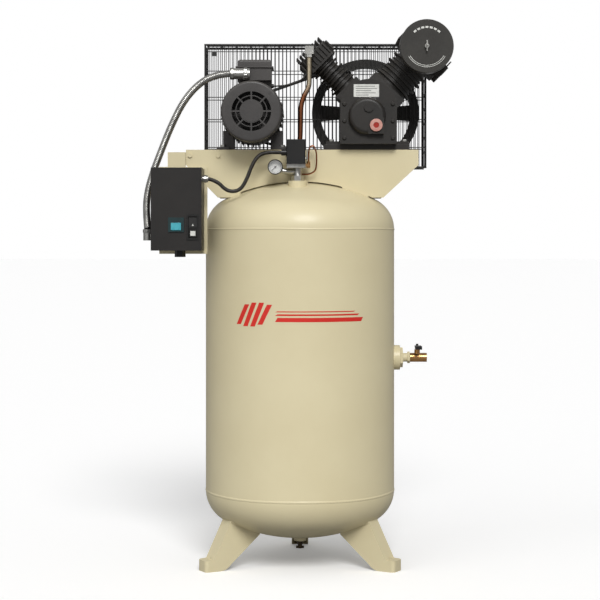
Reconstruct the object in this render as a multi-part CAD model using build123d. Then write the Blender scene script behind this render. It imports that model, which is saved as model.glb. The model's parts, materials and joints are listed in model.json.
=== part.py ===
from build123d import *
import math
import os

os.makedirs("parts", exist_ok=True)

# Two-stage air compressor on a vertical 80 US gallon tank, in millimetres, +Z up.
# The origin is on the floor, on the tank's axis; the front of the machine looks along -Y.

# Tank
TANK_R = 305.0
TANK_WALL = 4.0
SHELL_BOTTOM = 234.5
SHELL_TOP = 1076.5
CROWN_R = 0.904 * 2 * TANK_R
KNUCKLE_R = 0.173 * 2 * TANK_R
WELD_HALF = 5.0
WELD_PROUD = 1.6

# Feet
FOOT_ANGLES = (210, 330, 90)
FOOT_WIDTH = 56.0
FOOT_SHEET = 5.0
FOOT_END_R = 356.0
FOOT_BOLT_R = 330.0
FOOT_HOLE_R = 7.0

# Platform
DECK_Z = 1330.0
DECK_SHEET = 5.0
DECK_X0, DECK_X1 = -365.0, 379.0
DECK_Y0, DECK_Y1 = -80.0, 110.0
APRON_SIDE_Z = 1281.0
APRON_LOW_Z = 1177.0
APRON_GAP = 5.0

# Outlet on the tank's right side
OUTLET_Z = 660.0
OUTLET_BOSS_R = 40.0
VALVE_END_X = 411.0

# Manifold and switch on the top head
MANIFOLD = (-8.0, -122.0)
CHECK_VALVE_Y = -93.0
SWITCH_X0, SWITCH_X1 = -42.6, 17.4
SWITCH_Y0, SWITCH_Y1 = -170.0, -108.0
SWITCH_Z0, SWITCH_Z1 = 1275.0, 1359.0
GAUGE_X, GAUGE_Z, GAUGE_R = -78.0, 1272.0, 24.0

# Starter box
BOX_X0, BOX_X1 = -464.0, -306.0
BOX_Y0, BOX_Y1 = -240.0, -84.0
BOX_Z0, BOX_Z1 = 1009.0, 1267.5
BOX_SPLIT_Y = -132.0
BOX_WALL = 3.0

# Motor, its shaft along Y
MOTOR_X, MOTOR_Z = -152.0, 1444.3
MOTOR_R = 92.0
MOTOR_FIN_R = 100.0
MOTOR_Y0, MOTOR_Y1 = -120.0, 84.0
MOTOR_FRONT_Y = -215.0
FAN_COVER_R = 95.5
MOTOR_SHAFT_R = 14.0
RUNNING_GAP = 0.05

# Pump, its crankshaft along Y
CRANK_X, CRANK_Z = 218.0, 1463.0
CASE_HALF = 90.0
CASE_Y0, CASE_Y1 = -112.0, 88.0
CASE_WALL = 9.0
CASE_FLOOR_Z = 1347.0
CYLINDER_Y = -15.0
DECK_U = 100.0
THROW = 30.0
FIRST_BORE_R, SECOND_BORE_R = 50.8, 27.5
FIRST_TOP_U, FIRST_HEAD_U = 215.0, 290.0
SECOND_TOP_U, SECOND_HEAD_U = 204.0, 275.0
FIRST_HEAD_HALF, SECOND_HEAD_HALF = 91.0, 54.5
FIRST_WAIST_HALF = 70.0
FIN_PITCH, FIN_THICK = 12.8, 4.5
COVER_X, COVER_Z, COVER_R = 213.0, 1435.0, 59.0
COVER_DEPTH = 22.0
SIGHT_X, SIGHT_Z = 241.0, 1405.0
PISTON_HEIGHT = 50.0
PISTON_DROP = THROW * (1 + math.sqrt(0.5))

# Belt drive
WHEEL_Y0, WHEEL_Y1 = 142.0, 190.0
WHEEL_R = 178.0
PULLEY_R = 74.0
BELT_YS = (158.0, 174.0)
BELT_WIDTH, BELT_HEIGHT = 12.0, 8.0

# Belt guard
GUARD_X0, GUARD_X1 = -317.0, 419.0
GUARD_Z0, GUARD_Z1 = 1278.0, 1690.0
GUARD_Y0, GUARD_Y1 = 118.0, 245.0
GUARD_WIRE = 3.0
GUARD_PITCH = 25.4

# Air filter in front of the first-stage head
FILTER_X, FILTER_Z, FILTER_R = 397.0, 1649.0, 84.0
FILTER_Y0, FILTER_Y1 = -205.0, -135.0


def save(name, *shapes):
    """Write one sub-part, as one solid or as a group of separate solids."""
    solids = [solid for shape in shapes for solid in shape.solids()]
    export_step(Compound(solids) if len(solids) > 1 else solids[0], f"parts/{name}.step")


def block(x0, x1, y0, y1, z0, z1):
    """A box between two opposite corners."""
    return Pos((x0 + x1) / 2, (y0 + y1) / 2, (z0 + z1) / 2) * Box(x1 - x0, y1 - y0, z1 - z0)


def rod(start, end, radius):
    """A round bar from one point to another."""
    axis = Vector(*end) - Vector(*start)
    low = (Align.CENTER, Align.CENTER, Align.MIN)
    return Plane(origin=start, z_dir=axis) * Cylinder(radius, axis.length, align=low)


def hexagon(start, end, across_flats):
    """A hexagonal bar from one point to another."""
    axis = Vector(*end) - Vector(*start)
    outline = RegularPolygon(across_flats / 2, 6, major_radius=False)
    return Plane(origin=start, z_dir=axis) * extrude(outline, axis.length)


def pipe(start, end, outer, inner):
    """A straight tube from one point to another."""
    return rod(start, end, outer) - rod(start, end, inner)


def slab(sketch, y0, y1):
    """A sketch drawn in X and Z, made solid from y0 to y1."""
    return extrude(Plane(origin=(0, y1, 0), x_dir=(1, 0, 0), z_dir=(0, -1, 0)) * sketch, y1 - y0)


def rect(x0, x1, z0, z1):
    """A rectangle between two opposite corners of a sketch."""
    return Pos((x0 + x1) / 2, (z0 + z1) / 2) * Rectangle(x1 - x0, z1 - z0)


def disc(x, z, radius):
    """A filled circle in a sketch."""
    return Pos(x, z) * Circle(radius)


def turned(points):
    """A solid of revolution about Z from a closed outline of (radius, height) points."""
    return revolve(Plane.XZ * make_face(Polyline(*points, close=True)), Axis.Z)


def largest_radii(points):
    """The largest radius that each corner of a route allows."""
    radii = []
    for before, corner, after in zip(points, points[1:], points[2:]):
        first = Vector(*corner) - Vector(*before)
        second = Vector(*after) - Vector(*corner)
        half_turn = math.radians(first.get_angle(second)) / 2
        radii.append(0.45 * min(first.length, second.length) / math.tan(half_turn))
    return radii


def swept(name, points, diameter):
    """A round tube or cable along straight runs joined by tangent arcs."""
    radii = largest_radii(points)
    path = FilletPolyline(*points, radius=radii)
    start = Vector(*points[1]) - Vector(*points[0])
    section = Plane(origin=points[0], z_dir=start) * Circle(diameter / 2)
    tube = sweep(section, path=path)
    share = tube.volume / (math.pi * diameter**2 / 4 * path.length)
    print(name, "length", round(path.length), "volume share", round(share, 4))
    print("  radii in diameters", [round(radius / diameter, 1) for radius in radii])
    return tube


# --- Tank ---------------------------------------------------------------------------------

CROWN_DROP = math.sqrt((CROWN_R - KNUCKLE_R) ** 2 - (TANK_R - KNUCKLE_R) ** 2)
HEAD_DEPTH = CROWN_R - CROWN_DROP


def head_solid(inset):
    """A dished head, filled, its rim at z = 0, with its wall moved in by inset."""
    crown, knuckle = CROWN_R - inset, KNUCKLE_R - inset
    crown_low = -CROWN_DROP
    meet_x = (TANK_R - KNUCKLE_R) * crown / (CROWN_R - KNUCKLE_R)
    meet_z = crown_low + CROWN_DROP * crown / (CROWN_R - KNUCKLE_R)
    top = (0, crown_low + crown)
    rim = (TANK_R - inset, 0)
    swing = math.atan2(CROWN_DROP, TANK_R - KNUCKLE_R)
    knuckle_mid = (
        TANK_R - KNUCKLE_R + knuckle * math.cos(swing / 2),
        knuckle * math.sin(swing / 2),
    )
    half = (math.pi / 2 - swing) / 2
    crown_mid = (crown * math.sin(half), crown_low + crown * math.cos(half))
    outline = [
        ThreePointArc(top, crown_mid, (meet_x, meet_z)),
        ThreePointArc((meet_x, meet_z), knuckle_mid, rim),
        Line(rim, (0, 0)),
        Line((0, 0), top),
    ]
    return revolve(Plane.XZ * make_face(outline), Axis.Z)


def dome_z(x, y):
    """Height of the top head's outer face above a point near its middle."""
    return SHELL_TOP - CROWN_DROP + math.sqrt(CROWN_R**2 - x**2 - y**2)


dished = head_solid(0) - head_solid(TANK_WALL)
lip_r = TANK_R - TANK_WALL
lip = Pos(0, 0, -12) * (Cylinder(lip_r, 24) - Cylinder(lip_r - TANK_WALL, 24))
seam_ring = Pos(0, 0, 1) * (Cylinder(lip_r + 1, 2) - Cylinder(lip_r - TANK_WALL + 1, 2))
blank_head = dished + lip + seam_ring
top_head_solid = Pos(0, 0, SHELL_TOP) * head_solid(0)
bottom_head_solid = Pos(0, 0, SHELL_BOTTOM) * Rot(180, 0, 0) * head_solid(0)

shell = Pos(0, 0, SHELL_BOTTOM) * extrude(Circle(TANK_R) - Circle(lip_r), SHELL_TOP - SHELL_BOTTOM)
outlet_start = (294, 0, OUTLET_Z)
shell -= rod(outlet_start, (330, 0, OUTLET_Z), OUTLET_BOSS_R)
save("tank_shell", shell)


def weld_bead(seam_z):
    """The raised weld around the tank where a head meets the shell."""
    outline = [
        (TANK_R, seam_z - WELD_HALF),
        (TANK_R + WELD_PROUD, seam_z - WELD_HALF / 2),
        (TANK_R + WELD_PROUD, seam_z + WELD_HALF / 2),
        (TANK_R, seam_z + WELD_HALF),
    ]
    return turned(outline) - top_head_solid - bottom_head_solid


manifold_boss_z = 1229.0
safety_y = 215.0
safety_z = dome_z(0, safety_y) + 10
top_head = Pos(0, 0, SHELL_TOP) * blank_head
top_head -= rod((*MANIFOLD, 1190), (*MANIFOLD, 1240), 30)
top_head -= rod((0, safety_y, 1160), (0, safety_y, 1200), 18)
save("tank_top_head", top_head, weld_bead(SHELL_TOP))

tank_bottom = SHELL_BOTTOM - HEAD_DEPTH
bottom_head = Pos(0, 0, SHELL_BOTTOM) * Rot(180, 0, 0) * blank_head
bottom_head -= rod((0, 0, tank_bottom - 10), (0, 0, tank_bottom + 20), 20)
save("tank_bottom_head", bottom_head, weld_bead(SHELL_BOTTOM))

outlet_boss = pipe((297, 0, OUTLET_Z), (324, 0, OUTLET_Z), OUTLET_BOSS_R, 17)
manifold_boss = pipe((*MANIFOLD, 1200), (*MANIFOLD, manifold_boss_z), 30, 13)
safety_boss = pipe((0, safety_y, 1170), (0, safety_y, safety_z), 18, 9)
drain_boss = pipe((0, 0, 66), (0, 0, tank_bottom + 12), 20, 7)
save("tank_couplings", outlet_boss, manifold_boss, safety_boss, drain_boss)

# --- Feet: pressed channels welded under the bottom head, each with a bolt plate ------------


def foot(angle):
    """One pressed foot, its web outward and its two side flanges under the head."""
    outer = make_face(
        [
            Line((163, 105), (267, 18)),
            ThreePointArc((267, 18), (282.5, 5.5), (300, 0)),
            Line((300, 0), (FOOT_END_R, 0)),
            Line((FOOT_END_R, 0), (FOOT_END_R, 35)),
            Line((FOOT_END_R, 35), (327, 37)),
            Line((327, 37), (262, 165)),
            Line((262, 165), (200, 165)),
            Line((200, 165), (163, 105)),
        ]
    )
    web = FOOT_SHEET
    inner = make_face(
        Polyline(
            (140, 110),
            (250, -10),
            (298, web),
            (FOOT_END_R - web, web),
            (FOOT_END_R - web, 35 - web),
            (323, 37 - web),
            (254, 168),
            (190, 170),
            close=True,
        )
    )
    side = FOOT_WIDTH / 2
    body = slab(outer, -side, side) - slab(inner, -side + FOOT_SHEET, side - FOOT_SHEET)
    body -= rod((FOOT_BOLT_R, 0, -5), (FOOT_BOLT_R, 0, 60), FOOT_HOLE_R)
    return Rot(0, 0, angle) * body - bottom_head_solid


save("feet", *[foot(angle) for angle in FOOT_ANGLES])

# --- Platform ---------------------------------------------------------------------------------

apron = make_face(
    Polyline(
        (DECK_X0, DECK_Z),
        (DECK_X0, APRON_SIDE_Z),
        (-263, APRON_LOW_Z),
        (267, APRON_LOW_Z),
        (DECK_X1, APRON_SIDE_Z),
        (DECK_X1, DECK_Z),
        close=True,
    )
)
aprons = slab(apron, DECK_Y0, DECK_Y0 + DECK_SHEET) + slab(apron, DECK_Y1 - DECK_SHEET, DECK_Y1)
platform = aprons + block(DECK_X0, DECK_X1, DECK_Y0, DECK_Y1, DECK_Z - DECK_SHEET, DECK_Z)
raised_head = Pos(0, 0, SHELL_TOP + APRON_GAP) * head_solid(0)
gap_bars = [
    block(x0, x1, DECK_Y0 - 10, DECK_Y1 + 10, 1150, 1240)
    for x0, x1 in ((-190, -33), (25, 135), (219, 262), (-262, -226))
]
platform -= top_head_solid
for bar in gap_bars:
    platform -= raised_head & bar
motor_bolt_xs = (MOTOR_X - 95.25, MOTOR_X + 95.25)
motor_bolt_ys = (-68.0, 71.7)
pump_bolt_xs = (CRANK_X - 118, CRANK_X + 116)
pump_bolt_ys = (-62.0, 58.0)
bracket_bolt_xs = (-352.0, -262.0)
bracket_bolt_z = 1311.0
deck_bolts = [(x, y) for x in motor_bolt_xs for y in motor_bolt_ys]
pump_bolts = [(x, y) for x in pump_bolt_xs for y in pump_bolt_ys]
for x, y in deck_bolts + pump_bolts:
    platform -= rod((x, y, 1310), (x, y, 1340), 5)
for x in bracket_bolt_xs:
    platform -= rod((x, -90, bracket_bolt_z), (x, -60, bracket_bolt_z), 4)
save("platform", platform)

# --- Starter box: bracket, base, cover and what is inside ---------------------------------------

apron_back = DECK_Y0 + DECK_SHEET
bracket = slab(rect(-450, -296, 997, 1275), -84, DECK_Y0)
bracket += slab(rect(-423, -366, 1262, 1322), -84, apron_back + 4)
bracket += slab(rect(-368, -246, 1282, 1322), apron_back, apron_back + 4)
bracket -= slab(rect(-419, -360, 1280, 1330), DECK_Y0, apron_back)
for x in bracket_bolt_xs:
    bracket -= rod((x, -90, bracket_bolt_z), (x, -60, bracket_bolt_z), 4)
for x, y in deck_bolts:
    bracket -= rod((x, y, 1308), (x, y, 1330), 6)
save("starter_bracket", bracket)

wall = BOX_WALL
base = block(BOX_X0, BOX_X1, BOX_SPLIT_Y, BOX_Y1, BOX_Z0, BOX_Z1)
base -= block(BOX_X0 + wall, BOX_X1 - wall, BOX_SPLIT_Y - 1, BOX_Y1 - wall, BOX_Z0 + wall, BOX_Z1 - wall)
save("starter_base", base)

ROCKER_X, ROCKER_Z = -333.0, 1082.0
BUTTON_X, BUTTON_Z = -385.0, 1084.0
cover = block(BOX_X0, BOX_X1, BOX_Y0, BOX_SPLIT_Y, BOX_Z0, BOX_Z1)
cover -= block(BOX_X0 + wall, BOX_X1 - wall, BOX_Y0 + wall, BOX_SPLIT_Y + 1, BOX_Z0 + wall, BOX_Z1 - wall)
cover -= block(ROCKER_X - 15.5, ROCKER_X + 15.5, BOX_Y0 - 1, BOX_Y0 + 4, ROCKER_Z - 35.5, ROCKER_Z + 35.5)
cover -= rod((BUTTON_X, BOX_Y0 - 1, BUTTON_Z), (BUTTON_X, BOX_Y0 + 4, BUTTON_Z), 13)
cover -= rod((-310, -170, 1234), (-300, -170, 1234), 8)
cover -= rod((-470, -145, 1052), (-460, -145, 1052), 6)
cover -= rod((-378, -160, 1000), (-378, -160, 1015), 9)
save("starter_cover", cover)

bezel = block(BUTTON_X - 24.5, BUTTON_X + 24.5, BOX_Y0 - 5, BOX_Y0, BUTTON_Z - 17, BUTTON_Z + 28)
bezel += rod((BUTTON_X, BOX_Y0, BUTTON_Z), (BUTTON_X, BOX_Y0 + 24, BUTTON_Z), 12.9)
bezel -= rod((BUTTON_X, BOX_Y0 - 10, BUTTON_Z), (BUTTON_X, BOX_Y0 + 30, BUTTON_Z), 5)
bezel -= block(BUTTON_X - 16, BUTTON_X + 16, BOX_Y0 - 6, BOX_Y0 - 1, BUTTON_Z - 12, BUTTON_Z + 12)

button = block(BUTTON_X - 15.5, BUTTON_X + 15.5, BOX_Y0 - 9, BOX_Y0 - 4.5, BUTTON_Z - 11.5, BUTTON_Z + 11.5)
button += rod((BUTTON_X, BOX_Y0 - 4.5, BUTTON_Z), (BUTTON_X, BOX_Y0 + 26, BUTTON_Z), 4.7)
save("reset_button", button)

frame_outer = rect(ROCKER_X - 19, ROCKER_X + 19, ROCKER_Z - 40, ROCKER_Z + 40)
frame_inner = rect(ROCKER_X - 13.5, ROCKER_X + 13.5, ROCKER_Z - 33, ROCKER_Z + 33)
rocker_frame = slab(frame_outer - frame_inner, BOX_Y0 - 3, BOX_Y0)
rocker_sleeve = rect(ROCKER_X - 15, ROCKER_X + 15, ROCKER_Z - 35, ROCKER_Z + 35) - frame_inner
rocker_frame += slab(rocker_sleeve, BOX_Y0, BOX_Y0 + 22)
pivot_y = BOX_Y0 + 12
rocker_frame -= rod((ROCKER_X - 20, pivot_y, ROCKER_Z), (ROCKER_X + 20, pivot_y, ROCKER_Z), 2.6)
save("operator_bezels", bezel, rocker_frame)

rocker_side = make_face(
    Polyline(
        (BOX_Y0 + 1, ROCKER_Z + 31),
        (BOX_Y0 - 1, ROCKER_Z),
        (BOX_Y0 + 1, ROCKER_Z - 31),
        (BOX_Y0 + 14, ROCKER_Z - 12),
        (BOX_Y0 + 14, ROCKER_Z + 12),
        close=True,
    )
)
rocker_plane = Plane(origin=(ROCKER_X - 12.8, 0, 0), x_dir=(0, 1, 0), z_dir=(1, 0, 0))
rocker_pin = rod((ROCKER_X - 14.6, pivot_y, ROCKER_Z), (ROCKER_X + 14.6, pivot_y, ROCKER_Z), 2.4)
save("start_stop_rocker", extrude(rocker_plane * rocker_side, 25.6) + rocker_pin)

contactor = block(-430, -340, -190, -110, 1130, 1225) + block(-425, -345, -170, -110, 1225, 1240)
overload = block(-425, -345, -180, -110, 1062, 1126)
terminals = block(-440, -330, -125, -110, 1020, 1045)
rail = block(-440, -330, -110, -103, 1140, 1175) + block(-400, -370, -103, BOX_Y1 - wall, 1145, 1170)
save("starter_contactor", contactor, overload, terminals, rail)

# Wiring entries on the box, the motor and the pressure switch
CABLE_START = (-289.0, -170.0, 1234.0)
CABLE_END = (-59.0, -150.0, 1318.0)
CONDUIT_START = (-219.0, -170.0, 1565.0)
CONDUIT_END = (-482.0, -140.0, 1076.0)
box_cable_entry = rod((-305.9, -170, 1234), CABLE_START, 11)
mains_gland = hexagon((-378, -160, 988), (-378, -160, 1009), 30)
mains_gland -= rod((-378, -160, 980), (-378, -160, 1020), 7)
switch_cable_entry = rod(CABLE_END, (SWITCH_X0, -150, 1318), 10)
box_elbow = rod(CONDUIT_END, (-482, -140, 1040), 14) + block(-482, BOX_X0, -150, -130, 1042, 1062)
motor_elbow = rod(CONDUIT_START, (-158, -170, 1565), 17.5) + rod((-175, -170, 1566), (-175, -150, 1566), 12)
LEAD_START = (13.1, -60.0, 1563.1)
LEAD_END = (-84.0, -60.0, 1535.0)
lead_sensor = rod((23.7, -60, 1573.7), LEAD_START, 8)
lead_grommet = rod((-92, -60, 1535), LEAD_END, 7)
wiring_fittings = (box_cable_entry, switch_cable_entry, mains_gland, box_elbow, motor_elbow)
save("wiring_fittings", *wiring_fittings, lead_sensor, lead_grommet)

# --- Cable and flexible conduit ---------------------------------------------------------------

CABLE_ROUTE = [
    CABLE_START,
    (-263, -171, 1229),
    (-229, -171, 1194),
    (-191, -170, 1196),
    (-170, -168, 1226),
    (-151, -164, 1279),
    (-130, -160, 1311),
    (-94, -154, 1320),
    CABLE_END,
]
save("switch_cable", swept("switch cable", CABLE_ROUTE, 12))

CONDUIT_ROUTE = [
    CONDUIT_START,
    (-258, -168, 1563),
    (-313, -152, 1541),
    (-367, -131, 1486),
    (-410, -110, 1405),
    (-444, -86, 1325),
    (-474, -64, 1252),
    (-489, -76, 1190),
    (-490, -105, 1132),
    CONDUIT_END,
]
save("conduit", swept("conduit", CONDUIT_ROUTE, 23))

# --- Manifold, check valve, pressure switch and gauge ----------------------------------------------

manifold_x, manifold_y = MANIFOLD
nipple = rod((*MANIFOLD, 1205), (*MANIFOLD, 1240), 12.8)
manifold = nipple + hexagon((*MANIFOLD, manifold_boss_z), (*MANIFOLD, 1245), 34)
manifold += rod((*MANIFOLD, 1245), (*MANIFOLD, SWITCH_Z0 - 6), 13)
manifold += rod((manifold_x, manifold_y, 1258), (-34, manifold_y, 1258), 9)
manifold += rod((manifold_x, manifold_y, 1247), (manifold_x, CHECK_VALVE_Y, 1247), 9)
manifold += rod((manifold_x, CHECK_VALVE_Y, 1229), (manifold_x, CHECK_VALVE_Y, 1262), 13)
manifold -= rod((*MANIFOLD, 1200), (*MANIFOLD, SWITCH_Z0 - 12), 6)
manifold -= rod((manifold_x, CHECK_VALVE_Y, 1238), (manifold_x, CHECK_VALVE_Y, 1270), 8)
save("air_manifold", manifold)

switch_base = block(SWITCH_X0, SWITCH_X1, SWITCH_Y0 + 12, SWITCH_Y1, SWITCH_Z0 - 6, SWITCH_Z0 + 8)
switch_cover = block(SWITCH_X0, SWITCH_X1, SWITCH_Y0, SWITCH_Y1, SWITCH_Z0 + 8, SWITCH_Z1)
switch_cover = fillet(switch_cover.edges().filter_by(Axis.Z), 4)
switch_cover -= block(
    SWITCH_X0 + 2, SWITCH_X1 - 2, SWITCH_Y0 + 2, SWITCH_Y1 - 2, SWITCH_Z0 + 7, SWITCH_Z1 - 2
)
lever_y = -140.0
switch_cover -= rod((SWITCH_X1 - 5, lever_y, 1300), (SWITCH_X1 + 5, lever_y, 1300), 4)
save("pressure_switch_cover", switch_cover)
mechanism = block(-36, 2, -158, -116, SWITCH_Z0 + 8, 1330)
save("pressure_switch_base", switch_base, mechanism)
lever = rod((SWITCH_X1 - 12, lever_y, 1300), (SWITCH_X1 + 7, lever_y, 1300), 3.8)
lever += block(SWITCH_X1 + 3, SWITCH_X1 + 7, lever_y - 5, lever_y + 5, 1296, 1330)
save("pressure_switch_lever", lever)

unloader_valve = rod((27, -118, 1270), (27, -118, 1291), 6) + block(17.4, 27, -124, -112, 1275, 1284)
UNLOADER_ROUTE = [
    (27, -118, 1291),
    (27, -118, 1316),
    (31, -118, 1338),
    (43, -118, 1342),
    (52, -118, 1322),
    (53, -117, 1288),
    (50, -112, 1262),
    (32, -104, 1251),
    (6.5, -97, 1251),
]
save("unloader_line", unloader_valve, swept("unloader tube", UNLOADER_ROUTE, 5))

gauge_case = rod((GAUGE_X, -170, GAUGE_Z), (GAUGE_X, -146, GAUGE_Z), GAUGE_R)
gauge_case -= rod((GAUGE_X, -171, GAUGE_Z), (GAUGE_X, -149, GAUGE_Z), GAUGE_R - 2.5)
dial = pipe((GAUGE_X, -151, GAUGE_Z), (GAUGE_X, -149, GAUGE_Z), GAUGE_R - 2.7, 1.5)
lens = rod((GAUGE_X, -169, GAUGE_Z), (GAUGE_X, -167, GAUGE_Z), GAUGE_R - 2.7)
save("gauge_lens", lens)
needle = rod((GAUGE_X, -158, GAUGE_Z), (GAUGE_X, -149.5, GAUGE_Z), 1.2)
needle += rod((GAUGE_X, -156, GAUGE_Z), (GAUGE_X, -154, GAUGE_Z), 3)
needle += rod((GAUGE_X + 4, -155, GAUGE_Z + 4), (GAUGE_X - 11, -155, GAUGE_Z - 11), 0.8)
save("gauge_needle", needle)
gauge_fitting = rod((GAUGE_X, -146, GAUGE_Z), (GAUGE_X, manifold_y - 8, GAUGE_Z), 7)
gauge_fitting += rod((GAUGE_X - 8, manifold_y, 1265), (-34, manifold_y, 1258), 8)
gauge_fitting += block(GAUGE_X - 9, GAUGE_X + 9, manifold_y - 9, manifold_y + 9, 1256, 1281)
gauge_fitting -= rod((-34, manifold_y, 1258), (-10, manifold_y, 1258), 20)
save("gauge_case", gauge_case, dial, gauge_fitting)

safety_body = hexagon((0, safety_y, safety_z), (0, safety_y, safety_z + 12), 26)
safety_body += rod((0, safety_y, safety_z + 12), (0, safety_y, safety_z + 48), 11)
safety_body -= rod((0, safety_y, safety_z - 2), (0, safety_y, safety_z + 50), 5)
safety_body += rod((0, safety_y, safety_z), (0, safety_y, safety_z + 10), 6)
save("safety_valve_body", safety_body)
safety_stem = rod((0, safety_y, safety_z + 14), (0, safety_y, safety_z + 58), 3)
ring_centre = (0, safety_y, safety_z + 66)
safety_stem += Pos(*ring_centre) * Rot(90, 0, 0) * Torus(10, 1.8)
save("safety_valve_ring", safety_stem)

# --- Outlet valve and drain --------------------------------------------------------------------------

bushing = hexagon((324, 0, OUTLET_Z), (333, 0, OUTLET_Z), 56)
bushing += rod((300, 0, OUTLET_Z), (324, 0, OUTLET_Z), 16.8)
bushing += rod((333, 0, OUTLET_Z), (348, 0, OUTLET_Z), 14)
bushing -= rod((290, 0, OUTLET_Z), (350, 0, OUTLET_Z), 8)
union_ring = hexagon((348, 0, OUTLET_Z), (356, 0, OUTLET_Z), 33) - rod((340, 0, OUTLET_Z), (360, 0, OUTLET_Z), 8)
ball_x = 380.0
valve_body = rod((356, 0, OUTLET_Z), (VALVE_END_X, 0, OUTLET_Z), 14.5)
valve_body += rod((ball_x, 0, OUTLET_Z), (ball_x, 0, OUTLET_Z + 26), 9)
valve_body -= Pos(ball_x, 0, OUTLET_Z) * Sphere(11.3)
valve_body -= rod((350, 0, OUTLET_Z), (420, 0, OUTLET_Z), 7.5)
valve_body -= rod((395, 0, OUTLET_Z), (420, 0, OUTLET_Z), 9.3)
valve_body -= rod((ball_x, 0, OUTLET_Z), (ball_x, 0, OUTLET_Z + 40), 4.3)
save("outlet_valve_body", bushing, union_ring, valve_body)
ball = Pos(ball_x, 0, OUTLET_Z) * Sphere(11)
ball -= rod((ball_x, -20, OUTLET_Z), (ball_x, 20, OUTLET_Z), 7.5)
valve_lever = rod((ball_x, 0, OUTLET_Z + 10), (ball_x, 0, OUTLET_Z + 44), 4) - Pos(ball_x, 0, OUTLET_Z) * Sphere(11)
valve_lever += block(ball_x - 8, ball_x + 8, -68, 8, OUTLET_Z + 34, OUTLET_Z + 38)
grip = block(ball_x - 10, ball_x + 10, -92, -34, OUTLET_Z + 31, OUTLET_Z + 41)
grip -= block(ball_x - 8, ball_x + 8, -68, -30, OUTLET_Z + 34, OUTLET_Z + 38)
save("outlet_valve_lever", ball, valve_lever, grip)

drain_body = rod((0, 0, 54), (0, 0, 66), 9) + rod((0, 0, 66), (0, 0, 80), 6.8) - rod((0, 0, 50), (0, 0, 90), 3)
save("drain_valve_body", drain_body)
drain_wing = rod((0, 0, 41), (0, 0, 53.7), 7) + block(-13, 13, -2, 2, 41, 49)
drain_wing += rod((0, 0, 53), (0, 0, 62), 2.7)
save("drain_valve_wing", drain_wing)

# --- Motor -----------------------------------------------------------------------------------------

ring = Circle(MOTOR_R) - Circle(MOTOR_R - 8)
fins = Sketch()
for count in range(36):
    angle = count * 10
    if 55 < angle < 125:
        continue
    fin = Rectangle(MOTOR_FIN_R - MOTOR_R + 2, 3)
    fins += Rot(0, 0, angle) * Pos((MOTOR_R + MOTOR_FIN_R) / 2 - 1, 0) * fin
motor_frame = slab(Pos(MOTOR_X, MOTOR_Z) * (ring + fins), MOTOR_Y0, MOTOR_Y1)
for sign in (-1, 1):
    leg_x = MOTOR_X + sign * 95.25
    toe = block(leg_x - 20, leg_x + 20, -79, 86, DECK_Z, DECK_Z + 9)
    for x, y in deck_bolts:
        toe -= rod((x, y, 1320), (x, y, 1345), 5)
    inner_x = MOTOR_X + sign * 60
    strut_face = rect(min(inner_x, leg_x), max(inner_x, leg_x), DECK_Z, 1392)
    strut = slab(strut_face, -56, -46) + slab(strut_face, 48, 58)
    motor_frame += toe + (strut - rod((MOTOR_X, -150, MOTOR_Z), (MOTOR_X, 100, MOTOR_Z), MOTOR_R - 4))
motor_frame += slab(rect(MOTOR_X - 38, MOTOR_X + 60, MOTOR_Z + 82, 1546), -112, -46) - rod(
    (MOTOR_X, -150, MOTOR_Z), (MOTOR_X, 100, MOTOR_Z), MOTOR_R - 4
)
for x, y in deck_bolts:
    motor_frame -= rod((x, y, DECK_Z + 9), (x, y, DECK_Z + 22), 10)
stator = slab(disc(MOTOR_X, MOTOR_Z, MOTOR_R - 8) - disc(MOTOR_X, MOTOR_Z, 56), -85, 45)
save("motor_frame", motor_frame, stator)


def end_bell(y_rim, y_hub, hub_r):
    """A dished bearing shield on one end of the motor."""
    low, high = sorted((y_rim, y_hub))
    bell = along_motor(low, high, MOTOR_R)
    hollow_low, hollow_high = (y_rim, y_hub + 8) if y_hub < y_rim else (y_hub - 8, y_rim)
    start, end = sorted((hollow_low, hollow_high))
    bell -= along_motor(start, end, MOTOR_R - 8) - along_motor(start, end, hub_r)
    return bell - along_motor(low - 20, high + 20, 20)


def along_motor(y0, y1, radius):
    """A round bar on the motor's axis."""
    return rod((MOTOR_X, y0, MOTOR_Z), (MOTOR_X, y1, MOTOR_Z), radius)


save("motor_endbells", end_bell(MOTOR_Y1, 106, 34), end_bell(MOTOR_Y0, -142, 34))
motor_bearings = []
for low, high in ((-140, -125), (88, 103)):
    motor_bearings.append(along_motor(low, high, 19.9) - along_motor(low, high, MOTOR_SHAFT_R + RUNNING_GAP))
rotor = along_motor(-188, 194, MOTOR_SHAFT_R) + along_motor(-85, 45, 54.5)

fan = along_motor(-186, -164, 26)
blade = block(MOTOR_X + 20, MOTOR_X + 72, -186, -166, MOTOR_Z - 1.5, MOTOR_Z + 1.5)
for count in range(8):
    fan += Pos(MOTOR_X, 0, MOTOR_Z) * Rot(0, count * 45, 0) * Pos(-MOTOR_X, 0, -MOTOR_Z) * blade
save("motor_rotor", rotor, fan - along_motor(-200, -160, MOTOR_SHAFT_R))

fan_cover = along_motor(MOTOR_FRONT_Y, MOTOR_Y0, FAN_COVER_R)
fan_cover = fillet(fan_cover.edges().group_by(Axis.Y)[0], 8)
fan_cover -= along_motor(MOTOR_FRONT_Y + 3, MOTOR_Y0 + 1, FAN_COVER_R - 3)
slots = (Circle(62) - Circle(50)) + (Circle(47) - Circle(37))
for count in range(4):
    slots -= Rot(0, 0, count * 45) * Rectangle(140, 5)
fan_cover -= slab(Pos(MOTOR_X, MOTOR_Z) * slots, -220, -205)
save("motor_fan_cover", fan_cover)

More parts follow.
